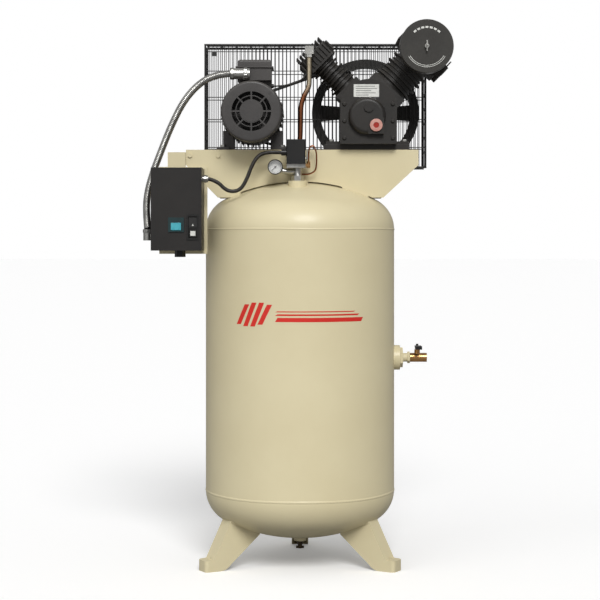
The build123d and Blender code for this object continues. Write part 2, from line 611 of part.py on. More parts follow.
conduit_box = block(-198, -90, -150, -40, 1546, 1586) - block(-195, -93, -147, -43, 1549, 1590)
conduit_box -= rod((-175, -155, 1566), (-175, -145, 1566), 8)
conduit_lid = block(-204, -84, -156, -34, 1586, 1590) + block(-196, -92, -148, -42, 1590, 1612)
conduit_lid -= block(-192, -96, -144, -46, 1585, 1608)
conduit_lid = fillet(conduit_lid.edges().group_by(Axis.Z)[-1], 7)
save("motor_conduit_box", conduit_box, conduit_lid)

# --- Pump ------------------------------------------------------------------------------------------


def bank(side):
    """The sketch plane of one cylinder bank, its Z along the cylinder away from the crank."""
    return Plane(origin=(CRANK_X, CYLINDER_Y, CRANK_Z), x_dir=(0, 1, 0), z_dir=(side, 0, 1))


FIRST, SECOND = bank(1), bank(-1)


def stack(plane, sketch, low, high):
    """A sketch on a bank, made solid between two distances from the crank's axis."""
    return plane * (Pos(0, 0, low) * extrude(sketch, high - low))


def along_crank(y0, y1, radius):
    """A round bar on the crankshaft's axis."""
    return rod((CRANK_X, y0, CRANK_Z), (CRANK_X, y1, CRANK_Z), radius)


case_outline = disc(CRANK_X, CRANK_Z, CASE_HALF)
case_outline += rect(CRANK_X - CASE_HALF, CRANK_X + CASE_HALF, CASE_FLOOR_Z, CRANK_Z)
case = slab(case_outline, CASE_Y0, CASE_Y1)
case += stack(FIRST, Rectangle(150, 130), 40, DECK_U) + stack(SECOND, Rectangle(108, 92), 40, DECK_U)
inner = CASE_HALF - CASE_WALL
case_hollow = disc(CRANK_X, CRANK_Z, inner)
case_hollow += rect(CRANK_X - inner, CRANK_X + inner, CASE_FLOOR_Z + CASE_WALL, CRANK_Z)
case -= slab(case_hollow, CASE_Y0 - 1, CASE_Y1 - CASE_WALL)
case -= stack(FIRST, Circle(FIRST_BORE_R + 5), 50, DECK_U + 1)
case -= stack(SECOND, Circle(SECOND_BORE_R + 5), 50, DECK_U + 1)
for y in pump_bolt_ys:
    flange = block(CRANK_X - 134, CRANK_X + 132, y - 16, y + 16, CASE_FLOOR_Z, CASE_FLOOR_Z + 10)
    for x in pump_bolt_xs:
        flange -= rod((x, y, 1340), (x, y, 1360), 5)
    case += flange
case += along_crank(CASE_Y1 - 24, CASE_Y1 + 4, 44)
case -= along_crank(CASE_Y1 - 30, CASE_Y1 + 10, 32)
save("crankcase", case)

rails = []
for y in pump_bolt_ys:
    rail_bar = block(77, 350, y - 18, y + 18, DECK_Z, CASE_FLOOR_Z)
    for x in pump_bolt_xs:
        rail_bar -= rod((x, y, 1320), (x, y, 1350), 5)
    rails.append(rail_bar)
save("pump_rails", *rails)

cover_face = CASE_Y0 - 8
bulge_face = cover_face - COVER_DEPTH
bulge = rod((COVER_X, bulge_face, COVER_Z), (COVER_X, cover_face, COVER_Z), COVER_R)
bulge = fillet(bulge.edges().group_by(Axis.Y)[0], 13)
front_cover = slab(case_outline, cover_face, CASE_Y0) + bulge + along_crank(CASE_Y0, CASE_Y0 + 18, 42)
front_cover += block(SIGHT_X - 25, SIGHT_X + 25, bulge_face, cover_face, SIGHT_Z - 27, SIGHT_Z + 25)
front_cover -= along_crank(CASE_Y0 - 14, CASE_Y0 + 20, 32)
front_cover -= rod((SIGHT_X, bulge_face - 1, SIGHT_Z), (SIGHT_X, CASE_Y0 + 1, SIGHT_Z), 14)
cover_boss = along_crank(bulge_face - 6, bulge_face, 16)
save("crankcase_cover", front_cover, cover_boss)
glass_body = pipe((SIGHT_X, bulge_face - 8, SIGHT_Z), (SIGHT_X, CASE_Y0 - 2, SIGHT_Z), 13.9, 9)
glass_body += pipe((SIGHT_X, bulge_face - 8, SIGHT_Z), (SIGHT_X, bulge_face, SIGHT_Z), 20, 9)
glass_lens = rod((SIGHT_X, bulge_face - 7, SIGHT_Z), (SIGHT_X, bulge_face, SIGHT_Z), 9)
save("oil_sight_glass", glass_body, glass_lens)
bearings = []
for low, high in ((CASE_Y0 - 10, CASE_Y0 + 14), (CASE_Y1 - 22, CASE_Y1 + 2)):
    bearings.append(along_crank(low, high, 31.9) - along_crank(low, high, 20 + RUNNING_GAP))
save("shaft_bearings", *bearings, *motor_bearings)

crankshaft = along_crank(CASE_Y0 - 12, -45, 20) + along_crank(15, 192, 20)
pin = rod((CRANK_X, -45, CRANK_Z - THROW), (CRANK_X, 15, CRANK_Z - THROW), 17)
webs = Sketch() + disc(CRANK_X, CRANK_Z, 32) + disc(CRANK_X, CRANK_Z - THROW, 26)
weight = disc(CRANK_X, CRANK_Z, 74) & rect(CRANK_X - 60, CRANK_X + 60, CRANK_Z + 8, CRANK_Z + 80)
crankshaft += pin + slab(webs + weight, -58, -43) + slab(webs + weight, 13, 28)
save("crankshaft", crankshaft)


def finned(bore, core, short, tall, top, top_fin):
    """A cylinder barrel on the crankcase deck, its round fins short and tall in turn."""
    outline = [(bore, DECK_U), (short, DECK_U), (short, DECK_U + 9), (core, DECK_U + 9)]
    for count in reversed(range(7)):
        middle = top_fin - count * FIN_PITCH
        fin_r = short if count % 2 else tall
        low, high = middle - FIN_THICK / 2, middle + FIN_THICK / 2
        outline += [(core, low), (fin_r, low), (fin_r, high), (core, high)]
    outline += [(core, top - 9), (short, top - 9), (short, top), (bore, top)]
    return turned(outline)


save("first_stage_cylinder", FIRST * finned(FIRST_BORE_R, 56, 61, 69, FIRST_TOP_U, 192))
save("second_stage_cylinder", SECOND * finned(SECOND_BORE_R, 34, 40, 48, SECOND_TOP_U, 189))


def head(plane, waist, half, low, high, fin_count):
    """A square cylinder head, its waist drawn in, with cooling fins on top."""
    body = stack(plane, RectangleRounded(2 * waist, 2 * waist, 14), low, high - 26)
    body += stack(plane, RectangleRounded(2 * half, 2 * half, 14), high - 34, high - 20)
    pitch = 2 * half / fin_count
    fin_rows = Sketch()
    for count in range(fin_count):
        fin_rows += Pos(0, -half + (count + 0.5) * pitch) * Rectangle(2 * half - 8, 4)
    return body + stack(plane, fin_rows, high - 21, high)


plate = 8.0


def valve_plate(plane, half, top):
    """The square plate between a cylinder and its head."""
    return stack(plane, RectangleRounded(2 * half, 2 * half, 14), top, top + plate)


first_head = head(FIRST, FIRST_WAIST_HALF, FIRST_HEAD_HALF, FIRST_TOP_U + plate, FIRST_HEAD_U, 11)
first_face = CYLINDER_Y - FIRST_HEAD_HALF
first_head += rod((FILTER_X, first_face, FILTER_Z), (FILTER_X, CYLINDER_Y, FILTER_Z), 24)
first_head += rod((386, CYLINDER_Y, 1631), (386, 79, 1631), 13)
save("first_stage_head", valve_plate(FIRST, 76, FIRST_TOP_U), first_head)
second_half = SECOND_HEAD_HALF
second_head = head(SECOND, second_half, second_half, SECOND_TOP_U + plate, SECOND_HEAD_U, 8)
second_face = CYLINDER_Y - second_half
second_head += rod((30, second_face, 1646), (30, CYLINDER_Y, 1646), 15)
save("second_stage_head", valve_plate(SECOND, second_half, SECOND_TOP_U), second_head)


def piston(radius, top):
    """A hollow piston with its wrist pin, its crown at this distance from the crank."""
    low = top - PISTON_HEIGHT
    inner = radius - 6
    outline = [(0, top), (radius, top), (radius, low), (inner, low), (inner, top - 10), (0, top - 10)]
    return turned(outline) + Pos(0, 0, top - 30) * Rot(90, 0, 0) * Cylinder(8, 2 * radius - 4)


save("first_stage_piston", FIRST * piston(FIRST_BORE_R - 0.4, FIRST_TOP_U - 1.5 - PISTON_DROP))
save("second_stage_piston", SECOND * piston(SECOND_BORE_R - 0.4, SECOND_TOP_U - 1.5 - PISTON_DROP))

# --- Air filter, intercooler and discharge line --------------------------------------------------------

filter_base = pipe((FILTER_X, FILTER_Y1 - 12, FILTER_Z), (FILTER_X, FILTER_Y1, FILTER_Z), FILTER_R - 1, 16)
filter_base += pipe((FILTER_X, FILTER_Y1, FILTER_Z), (FILTER_X, first_face, FILTER_Z), 22, 16)
stud_r = 3.0
element = pipe((FILTER_X, FILTER_Y0 + 8, FILTER_Z), (FILTER_X, FILTER_Y1 - 12, FILTER_Z), 70, 34)
filter_cover = rod((FILTER_X, FILTER_Y0, FILTER_Z), (FILTER_X, FILTER_Y1 - 14, FILTER_Z), FILTER_R)
filter_cover -= rod((FILTER_X, FILTER_Y0 + 3, FILTER_Z), (FILTER_X, FILTER_Y1, FILTER_Z), FILTER_R - 3)
filter_cover -= rod((FILTER_X, FILTER_Y0 - 5, FILTER_Z), (FILTER_X, FILTER_Y0 + 5, FILTER_Z), stud_r + 0.5)
save("filter_cover", filter_cover)
stud = rod((FILTER_X, FILTER_Y0 - 14, FILTER_Z), (FILTER_X, FILTER_Y1 - 4, FILTER_Z), stud_r)
stud += block(FILTER_X - 16.5, FILTER_X + 16.5, FILTER_Y1 - 8, FILTER_Y1 - 4, FILTER_Z - 4, FILTER_Z + 4)
save("filter_base", filter_base, stud - filter_base, element)
wing = rod((FILTER_X, FILTER_Y0 - 11, FILTER_Z), (FILTER_X, FILTER_Y0 - 0.3, FILTER_Z), 7)
wing += block(FILTER_X - 2, FILTER_X + 2, FILTER_Y0 - 13, FILTER_Y0 - 5, FILTER_Z - 17, FILTER_Z + 17)
wing -= rod((FILTER_X, FILTER_Y0 - 20, FILTER_Z), (FILTER_X, FILTER_Y0 + 5, FILTER_Z), stud_r + 0.3)
save("filter_wing_nut", wing)

INTERCOOLER_ROUTE = [
    (386, 79, 1631),
    (384, 99, 1629),
    (358, 102, 1603),
    (306, 102, 1552),
    (262, 102, 1516),
    (218, 102, 1503),
    (174, 102, 1516),
    (130, 102, 1552),
    (78, 102, 1603),
    (62, 92, 1619),
    (55, 62, 1626),
    (53, CYLINDER_Y + second_half, 1628),
]
save("intercooler", swept("intercooler", INTERCOOLER_ROUTE, 15))

DISCHARGE_ROUTE = [
    (30, -92, 1630),
    (30, -92, 1580),
    (29, -92, 1530),
    (13, -92, 1502),
    (3, -93, 1472),
    (2, -93, 1425),
    (1, -93, 1375),
    (-4, -93, 1325),
    (-8, -93, 1290),
    (-8, -93, 1268),
]
discharge_tube = swept("discharge tube", DISCHARGE_ROUTE, 16)
head_elbow = rod((30, second_face, 1646), (30, -84, 1646), 13) + block(16, 44, -106, -80, 1634, 1660)
head_nut = hexagon((30, -92, 1624), (30, -92, 1634), 26) - rod((30, -92, 1620), (30, -92, 1640), 8)
tank_nut = hexagon((-8, -93, 1262), (-8, -93, 1272), 24) - rod((-8, -93, 1260), (-8, -93, 1280), 8)
head_elbow -= rod((30, -92, 1600), (30, -92, 1636), 8.2)
save("discharge_line", discharge_tube, head_elbow, head_nut, tank_nut)

SENSOR_LEAD_ROUTE = [
    LEAD_START,
    (2, -60, 1553),
    (-16, -60.5, 1545),
    (-38, -61, 1539),
    (-61, -61, 1535.5),
    LEAD_END,
]
save("sensor_lead", swept("sensor lead", SENSOR_LEAD_ROUTE, 5))

# --- Belt drive -----------------------------------------------------------------------------------------


def grooves(along, radius):
    """The rings that the belts run in, cut into a rim of this radius."""
    cuts = []
    for y in BELT_YS:
        half = BELT_WIDTH / 2 + 0.4
        cuts.append(along(y - half, y + half, radius + 1) - along(y - half, y + half, radius - 13))
    return cuts


flywheel = along_crank(WHEEL_Y0, WHEEL_Y1, WHEEL_R) - along_crank(WHEEL_Y0, WHEEL_Y1, 150)
flywheel += along_crank(WHEEL_Y0, WHEEL_Y1 - 2, 36)
arm_outline = [
    (CRANK_X + 30, CRANK_Z - 17),
    (CRANK_X + 153, CRANK_Z - 27),
    (CRANK_X + 153, CRANK_Z + 27),
    (CRANK_X + 30, CRANK_Z + 17),
]
arm = slab(make_face(Polyline(*arm_outline, close=True)), 158, 172)
for count in range(6):
    flywheel += Pos(CRANK_X, 0, CRANK_Z) * Rot(0, 60 * count, 0) * Pos(-CRANK_X, 0, -CRANK_Z) * arm
flywheel -= along_crank(100, 220, 20)
for cut in grooves(along_crank, WHEEL_R):
    flywheel -= cut
save("flywheel", flywheel)

pulley = along_motor(WHEEL_Y0, WHEEL_Y1, PULLEY_R) - along_motor(100, 220, MOTOR_SHAFT_R)
for cut in grooves(along_motor, PULLEY_R):
    pulley -= cut
save("motor_pulley", pulley)


def belt_loop(inset):
    """The outline of a belt around both wheels, drawn in by inset from the rims."""
    big = disc(CRANK_X, CRANK_Z, WHEEL_R - inset)
    small = disc(MOTOR_X, MOTOR_Z, PULLEY_R - inset)
    return make_hull(big.edges() + small.edges())


belt_face = belt_loop(1) - belt_loop(1 + BELT_HEIGHT)
save("drive_belts", *[slab(belt_face, y - BELT_WIDTH / 2, y + BELT_WIDTH / 2) for y in BELT_YS])

# --- Belt guard ------------------------------------------------------------------------------------------


def grille(y, holes):
    """One welded wire panel of the guard, with round clearance holes for the shafts."""
    edge = 6.0
    face = rect(GUARD_X0, GUARD_X1, GUARD_Z0, GUARD_Z1)
    face -= rect(GUARD_X0 + edge, GUARD_X1 - edge, GUARD_Z0 + edge, GUARD_Z1 - edge)
    for count in range(1, int((GUARD_X1 - GUARD_X0) / GUARD_PITCH)):
        x = GUARD_X0 + count * (GUARD_X1 - GUARD_X0) / int((GUARD_X1 - GUARD_X0) / GUARD_PITCH)
        face += rect(x - GUARD_WIRE / 2, x + GUARD_WIRE / 2, GUARD_Z0 + 2, GUARD_Z1 - 2)
    for z in (1347, 1439.4, 1513.2, 1600):
        face += rect(GUARD_X0 + 2, GUARD_X1 - 2, z - GUARD_WIRE / 2, z + GUARD_WIRE / 2)
    for x, z, radius in holes:
        face -= disc(x, z, radius)
        face += disc(x, z, radius + 3) - disc(x, z, radius)
    return slab(face, y - GUARD_WIRE / 2, y + GUARD_WIRE / 2)


save("guard_front", grille(GUARD_Y0, [(CRANK_X, CRANK_Z, 56), (MOTOR_X, MOTOR_Z, 40)]))
save("guard_rear", grille(GUARD_Y1, []))
rim_low, rim_high = GUARD_Y0 + GUARD_WIRE / 2, GUARD_Y1 - GUARD_WIRE / 2
rim_outer = rect(GUARD_X0, GUARD_X1, GUARD_Z0, GUARD_Z1)
rim_face = rim_outer - rect(GUARD_X0 + 3, GUARD_X1 - 3, GUARD_Z0 + 3, GUARD_Z1 - 3)
guard_rim = slab(rim_face, rim_low, rim_high)
corner = 6.0
for x in (GUARD_X0, GUARD_X1):
    for z in (GUARD_Z0, GUARD_Z1):
        guard_rim -= block(x - corner, x + corner, rim_low - 1, rim_high + 1, z - corner, z + corner)
window_width, window_gap = 40.0, 8.0
for count in range(15):
    x0 = GUARD_X0 + 12 + count * (window_width + window_gap)
    for low, high in ((130, 175), (185, 235)):
        guard_rim -= block(x0, x0 + window_width, low, high, GUARD_Z0 - 5, GUARD_Z1 + 5)
for count in range(8):
    z0 = GUARD_Z0 + 12 + count * (window_width + window_gap)
    for low, high in ((130, 175), (185, 235)):
        guard_rim -= block(GUARD_X0 - 5, GUARD_X1 + 5, low, high, z0, z0 + window_width)
guard_feet = []
for x in (-240, 60, 340):
    stay_plate = block(x - 12, x + 12, DECK_Y1, GUARD_Y0 - GUARD_WIRE / 2, 1280, 1318)
    guard_feet.append(stay_plate)
save("guard_rim", guard_rim, *guard_feet)

# --- Fasteners --------------------------------------------------------------------------------------------


def bolt(x, y, seat, low):
    """A hexagon bolt with its head on the seat and its shank down through the deck."""
    return hexagon((x, y, seat), (x, y, seat + 7), 16) + rod((x, y, low), (x, y, seat), 4.8)


machine_bolts = [bolt(x, y, DECK_Z + 9, DECK_Z - 14) for x, y in deck_bolts]
machine_bolts += [bolt(x, y, CASE_FLOOR_Z + 10, DECK_Z - 14) for x, y in pump_bolts]
for x in bracket_bolt_xs:
    head_face, seat = DECK_Y0 - 5, DECK_Y0
    bracket_bolt = hexagon((x, head_face, bracket_bolt_z), (x, seat, bracket_bolt_z), 13)
    machine_bolts.append(bracket_bolt + rod((x, seat, bracket_bolt_z), (x, -62, bracket_bolt_z), 3.8))
save("machine_bolts", *machine_bolts)
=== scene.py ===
import json
import math
import random

import bmesh
import bpy
from mathutils import Matrix, Vector
from mathutils.bvhtree import BVHTree

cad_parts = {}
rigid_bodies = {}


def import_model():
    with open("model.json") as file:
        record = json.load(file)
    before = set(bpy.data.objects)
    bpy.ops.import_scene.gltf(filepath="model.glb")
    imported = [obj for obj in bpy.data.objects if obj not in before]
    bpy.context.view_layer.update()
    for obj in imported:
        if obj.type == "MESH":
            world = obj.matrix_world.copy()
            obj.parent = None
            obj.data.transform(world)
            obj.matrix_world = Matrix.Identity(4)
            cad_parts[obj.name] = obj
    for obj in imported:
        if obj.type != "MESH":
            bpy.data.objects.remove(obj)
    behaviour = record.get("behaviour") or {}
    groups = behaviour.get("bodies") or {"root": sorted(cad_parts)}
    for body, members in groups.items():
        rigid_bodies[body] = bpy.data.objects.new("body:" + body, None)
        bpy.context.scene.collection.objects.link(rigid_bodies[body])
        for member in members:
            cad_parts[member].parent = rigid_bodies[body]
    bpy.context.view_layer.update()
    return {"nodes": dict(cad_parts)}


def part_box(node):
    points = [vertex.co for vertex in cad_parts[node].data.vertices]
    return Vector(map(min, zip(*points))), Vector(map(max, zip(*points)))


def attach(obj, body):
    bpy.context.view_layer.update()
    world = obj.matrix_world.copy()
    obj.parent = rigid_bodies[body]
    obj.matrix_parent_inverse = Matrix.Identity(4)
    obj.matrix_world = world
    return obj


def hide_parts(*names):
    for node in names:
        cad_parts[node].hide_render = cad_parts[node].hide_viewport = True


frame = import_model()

nodes = frame["nodes"]

# --- Studio ---------------------------------------------------------------------------------------
# The machine stands on a pale floor under a soft light from above the camera, with a weaker one
# from the side. The camera stands 5.6 m in front of it, at about two thirds of its height.

view = bpy.data.cameras.new("camera")
view.sensor_width = 36.0
view.lens = 103.9
view.shift_y = -0.115
camera = bpy.data.objects.new("camera", view)
camera.location = (0.0, -5.62, 1.07)
camera.rotation_euler = (math.radians(90), 0, 0)
bpy.context.scene.collection.objects.link(camera)
bpy.context.scene.camera = camera
bpy.context.scene.view_settings.view_transform = "Standard"
bpy.context.scene.view_settings.look = "None"


def wire(tree, *links):
    """Joins sockets of a node tree, each link as (from node, output, to node, input)."""
    for source, out, target, into in links:
        tree.links.new(source.outputs[out], target.inputs[into])


def sun(name, energy, angle, turn):
    """A distant soft light, turned from straight down."""
    lamp = bpy.data.lights.new(name, "SUN")
    lamp.energy = energy
    lamp.angle = math.radians(angle)
    lamp_object = bpy.data.objects.new(name, lamp)
    lamp_object.rotation_euler = [math.radians(degrees) for degrees in turn]
    bpy.context.scene.collection.objects.link(lamp_object)


sun("key_light", 2.2, 24, (54, 0, 7))
sun("fill_light", 0.5, 60, (60, 0, -40))

world = bpy.data.worlds.new("studio")
world.use_nodes = True
bpy.context.scene.world = world
sky = world.node_tree
sky.nodes.clear()
backdrop = sky.nodes.new("ShaderNodeBackground")
backdrop.inputs["Strength"].default_value = 1.0
backdrop.inputs["Color"].default_value = (1, 1, 1, 1)
ambient = sky.nodes.new("ShaderNodeBackground")
ambient.inputs["Strength"].default_value = 0.36
softbox = sky.nodes.new("ShaderNodeValToRGB")
softbox.color_ramp.elements[0].position = 0.35
softbox.color_ramp.elements[0].color = (0.5, 0.5, 0.5, 1)
softbox.color_ramp.elements[1].position = 0.85
softbox.color_ramp.elements[1].color = (1.15, 1.15, 1.15, 1)
heading = sky.nodes.new("ShaderNodeTexCoord")
height = sky.nodes.new("ShaderNodeSeparateXYZ")
ray = sky.nodes.new("ShaderNodeLightPath")
either = sky.nodes.new("ShaderNodeMixShader")
sky_out = sky.nodes.new("ShaderNodeOutputWorld")
lift = sky.nodes.new("ShaderNodeMath")
lift.operation = "MULTIPLY_ADD"
lift.inputs[1].default_value = 0.5
lift.inputs[2].default_value = 0.5
wire(
    sky,
    (heading, "Generated", height, "Vector"),
    (height, "Z", lift, 0),
    (lift, 0, softbox, "Fac"),
    (softbox, "Color", ambient, "Color"),
    (ray, "Is Camera Ray", either, "Fac"),
    (ambient, 0, either, 1),
    (backdrop, 0, either, 2),
    (either, 0, sky_out, "Surface"),
)

floor_mesh = bpy.data.meshes.new("floor")
reach = 60.0
corners = [(-reach, -reach, 0), (reach, -reach, 0), (reach, reach, 0), (-reach, reach, 0)]
floor_mesh.from_pydata(corners, [], [(0, 1, 2, 3)])
floor = bpy.data.objects.new("floor", floor_mesh)
bpy.context.scene.collection.objects.link(floor)
floor_paint = bpy.data.materials.new("pale_floor")
floor_paint.use_nodes = True
floor_surface = floor_paint.node_tree.nodes["Principled BSDF"]
floor_surface.inputs["Roughness"].default_value = 0.8
floor_ray = floor_paint.node_tree.nodes.new("ShaderNodeLightPath")
floor_tone = floor_paint.node_tree.nodes.new("ShaderNodeMix")
floor_tone.data_type = "RGBA"
floor_tone.inputs[6].default_value = (0.3, 0.3, 0.3, 1)
floor_tone.inputs[7].default_value = (0.98, 0.98, 0.98, 1)
floor_glow = floor_paint.node_tree.nodes.new("ShaderNodeMath")
floor_glow.operation = "MULTIPLY"
floor_glow.inputs[1].default_value = 0.16
floor_surface.inputs["Emission Color"].default_value = (1, 1, 1, 1)
wire(
    floor_paint.node_tree,
    (floor_ray, "Is Camera Ray", floor_tone, 0),
    (floor_ray, "Is Camera Ray", floor_glow, 0),
    (floor_glow, 0, floor_surface, "Emission Strength"),
    (floor_tone, 2, floor_surface, "Base Color"),
)
floor_mesh.materials.append(floor_paint)

# --- Finishes -------------------------------------------------------------------------------------
# Four effects serve every finish: a slow change of colour, a surface grain, rubbed edges and
# settled dust. Each is one shader group, and each finish below sets its own amounts.


def shader_group(name, inputs, outputs):
    """An empty shader group with named inputs (with their values) and outputs."""
    group = bpy.data.node_groups.new(name, "ShaderNodeTree")
    for label, value in inputs.items():
        kind = "NodeSocketColor" if isinstance(value, tuple) else "NodeSocketFloat"
        socket = group.interface.new_socket(label, in_out="INPUT", socket_type=kind)
        socket.default_value = value
    for label, kind in outputs.items():
        group.interface.new_socket(label, in_out="OUTPUT", socket_type=kind)
    return group, group.nodes.new("NodeGroupInput"), group.nodes.new("NodeGroupOutput")


def put(tree, kind, **values):
    """A node with settings by name; those that name an input set its value."""
    node = tree.nodes.new(kind)
    for label, value in values.items():
        socket = label.replace("_", " ").title()
        if hasattr(node, label):
            setattr(node, label, value)
        elif socket in node.inputs:
            node.inputs[socket].default_value = value
        else:
            raise KeyError(label)
    return node


mottle, given, result = shader_group(
    "slow_colour_change",
    {"Color A": (0.8, 0.8, 0.8, 1), "Color B": (0.6, 0.6, 0.6, 1), "Scale": 4.0},
    {"Color": "NodeSocketColor"},
)
place = put(mottle, "ShaderNodeTexCoord")
clouds = put(mottle, "ShaderNodeTexNoise", detail=5.0, roughness=0.6)
spread = put(mottle, "ShaderNodeMapRange", from_min=0.35, from_max=0.68)
blend = put(mottle, "ShaderNodeMix", data_type="RGBA")
wire(
    mottle,
    (place, "Object", clouds, "Vector"),
    (given, "Scale", clouds, "Scale"),
    (clouds, "Fac", spread, "Value"),
    (spread, "Result", blend, 0),
    (given, "Color A", blend, 6),
    (given, "Color B", blend, 7),
    (blend, 2, result, "Color"),
)

grain, given, result = shader_group(
    "surface_grain",
    {"Fine Scale": 900.0, "Coarse Scale": 60.0, "Coarse Share": 0.5},
    {"Height": "NodeSocketFloat"},
)
place = put(grain, "ShaderNodeTexCoord")
fine = put(grain, "ShaderNodeTexNoise", detail=2.0)
coarse = put(grain, "ShaderNodeTexNoise", detail=3.0)
sum_up = put(grain, "ShaderNodeMix", data_type="FLOAT")
wire(
    grain,
    (place, "Object", fine, "Vector"),
    (place, "Object", coarse, "Vector"),
    (given, "Fine Scale", fine, "Scale"),
    (given, "Coarse Scale", coarse, "Scale"),
    (given, "Coarse Share", sum_up, 0),
    (fine, "Fac", sum_up, 2),
    (coarse, "Fac", sum_up, 3),
    (sum_up, 0, result, "Height"),
)

rubbed, given, result = shader_group(
    "rubbed_edges", {"Amount": 0.5, "Patch Scale": 40.0}, {"Mask": "NodeSocketFloat"}
)
flat_normal = put(rubbed, "ShaderNodeNewGeometry")
rounded = put(rubbed, "ShaderNodeBevel", samples=6)
rounded.inputs["Radius"].default_value = 0.0025
compare = put(rubbed, "ShaderNodeVectorMath", operation="DOT_PRODUCT")
edge = put(rubbed, "ShaderNodeMapRange", from_min=0.995, from_max=0.90)
place = put(rubbed, "ShaderNodeTexCoord")
patches = put(rubbed, "ShaderNodeTexNoise", detail=6.0, roughness=0.7)
broken = put(rubbed, "ShaderNodeMapRange", from_min=0.45, from_max=0.62)
both = put(rubbed, "ShaderNodeMath", operation="MULTIPLY")
scaled = put(rubbed, "ShaderNodeMath", operation="MULTIPLY")
wire(
    rubbed,
    (flat_normal, "Normal", compare, 0),
    (rounded, "Normal", compare, 1),
    (compare, "Value", edge, "Value"),
    (place, "Object", patches, "Vector"),
    (given, "Patch Scale", patches, "Scale"),
    (patches, "Fac", broken, "Value"),
    (edge, "Result", both, 0),
    (broken, "Result", both, 1),
    (both, 0, scaled, 0),
    (given, "Amount", scaled, 1),
    (scaled, 0, result, "Mask"),
)

dust, given, result = shader_group("settled_dust", {"Amount": 0.3}, {"Mask": "NodeSocketFloat"})
facing = put(dust, "ShaderNodeNewGeometry")
upward = put(dust, "ShaderNodeSeparateXYZ")
level = put(dust, "ShaderNodeMapRange", from_min=0.35, from_max=1.0)
place = put(dust, "ShaderNodeTexCoord")
film = put(dust, "ShaderNodeTexNoise", scale=26.0, detail=8.0, roughness=0.7)
thin = put(dust, "ShaderNodeMapRange", from_min=0.3, from_max=0.75)
both = put(dust, "ShaderNodeMath", operation="MULTIPLY")
scaled = put(dust, "ShaderNodeMath", operation="MULTIPLY")
wire(
    dust,
    (facing, "Normal", upward, "Vector"),
    (upward, "Z", level, "Value"),
    (place, "Object", film, "Vector"),
    (film, "Fac", thin, "Value"),
    (level, "Result", both, 0),
    (thin, "Result", both, 1),
    (both, 0, scaled, 0),
    (given, "Amount", scaled, 1),
    (scaled, 0, result, "Mask"),
)


def linear(red, green, blue):
    """A colour given in 0-255 display values, as the shader wants it."""

    def channel(value):
        share = value / 255
        return share / 12.92 if share <= 0.04045 else ((share + 0.055) / 1.055) ** 2.4

    return (channel(red), channel(green), channel(blue), 1.0)


def group_node(tree, group, **values):
    """A shader group placed in a material, its inputs set by name."""
    node = tree.nodes.new("ShaderNodeGroup")
    node.node_tree = group
    for label, value in values.items():
        node.inputs[label.replace("_", " ").title()].default_value = value
    return node


DUST_COLOUR = linear(196, 188, 170)


def finish(
    name,
    colour,
    shade,
    under=None,
    metallic=0.0,
    roughness=(0.35, 0.5),
    patch=5.0,
    fine=900.0,
    coarse=60.0,
    coarse_share=0.5,
    bump=0.05,
    depth=0.0004,
    wear=0.25,
    dirt=0.15,
    coat=0.0,
    sheen_ior=1.45,
):
    """A worn real surface: two near colours, a grain, rubbed edges and dust on top.

    The colours are 0-255 display values: the main one, its shade, and what shows where it is rubbed.
    """
    material = bpy.data.materials.new(name)
    material.use_nodes = True
    tree = material.node_tree
    surface = tree.nodes["Principled BSDF"]
    surface.inputs["Metallic"].default_value = metallic
    surface.inputs["IOR"].default_value = sheen_ior
    surface.inputs["Coat Weight"].default_value = coat
    surface.inputs["Coat Roughness"].default_value = 0.12
    body = group_node(tree, mottle, color_a=linear(*colour), color_b=linear(*shade), scale=patch)
    rub = group_node(tree, rubbed, amount=wear, patch_scale=patch * 9)
    soil = group_node(tree, dust, amount=dirt)
    texture = group_node(tree, grain, fine_scale=fine, coarse_scale=coarse, coarse_share=coarse_share)
    worn = put(tree, "ShaderNodeMix", data_type="RGBA")
    worn.inputs[7].default_value = linear(*(under or shade))
    dusty = put(tree, "ShaderNodeMix", data_type="RGBA")
    dusty.inputs[7].default_value = DUST_COLOUR
    gloss = put(
        tree, "ShaderNodeMapRange", from_min=0.3, from_max=0.7, to_min=roughness[0], to_max=roughness[1]
    )
    dull = put(tree, "ShaderNodeMix", data_type="FLOAT")
    dull.inputs[3].default_value = 0.85
    relief = put(tree, "ShaderNodeBump", strength=bump, distance=depth)
    wire(
        tree,
        (body, "Color", worn, 6),
        (rub, "Mask", worn, 0),
        (worn, 2, dusty, 6),
        (soil, "Mask", dusty, 0),
        (dusty, 2, surface, "Base Color"),
        (texture, "Height", gloss, "Value"),
        (gloss, "Result", dull, 2),
        (soil, "Mask", dull, 0),
        (dull, 0, surface, "Roughness"),
        (texture, "Height", relief, "Height"),
        (relief, "Normal", surface, "Normal"),
    )
    return material


def keep(piece, body, *replaced):
    """Settles a finished piece: it rides on its body and stands for its parts of the frame."""
    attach(piece, body)
    if replaced:
        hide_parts(*replaced)
    return piece


def make_object(name, mesh, *materials):
    """A new object at the origin with this mesh and these finishes."""
    piece = bpy.data.objects.new(name, mesh)
    bpy.context.scene.collection.objects.link(piece)
    for material in materials:
        mesh.materials.append(material)
    return piece


def settled(shape, name, *materials):
    """Turns finished faces into an object with these finishes."""
    mesh = bpy.data.meshes.new(name)
    shape.to_mesh(mesh)
    shape.free()
    return make_object(name, mesh, *materials)


def joined(shape, loops):
    """Faces between each loop of corners and the next, with a cap on both ends."""
    for near, far in zip(loops, loops[1:]):
        for side in range(len(near)):
            after = (side + 1) % len(near)
            shape.faces.new((near[side], near[after], far[after], far[side]))
    shape.faces.new(reversed(loops[0]))
    shape.faces.new(loops[-1])
    bmesh.ops.recalc_face_normals(shape, faces=shape.faces)


# --- Cable, conduit and sensor lead ---------------------------------------------------------------
# A rubber cable joins the starter to the pressure switch, a flexible steel conduit carries the
# motor leads, and a thin lead runs from the pump head to the motor. Both ends of each are fixed.


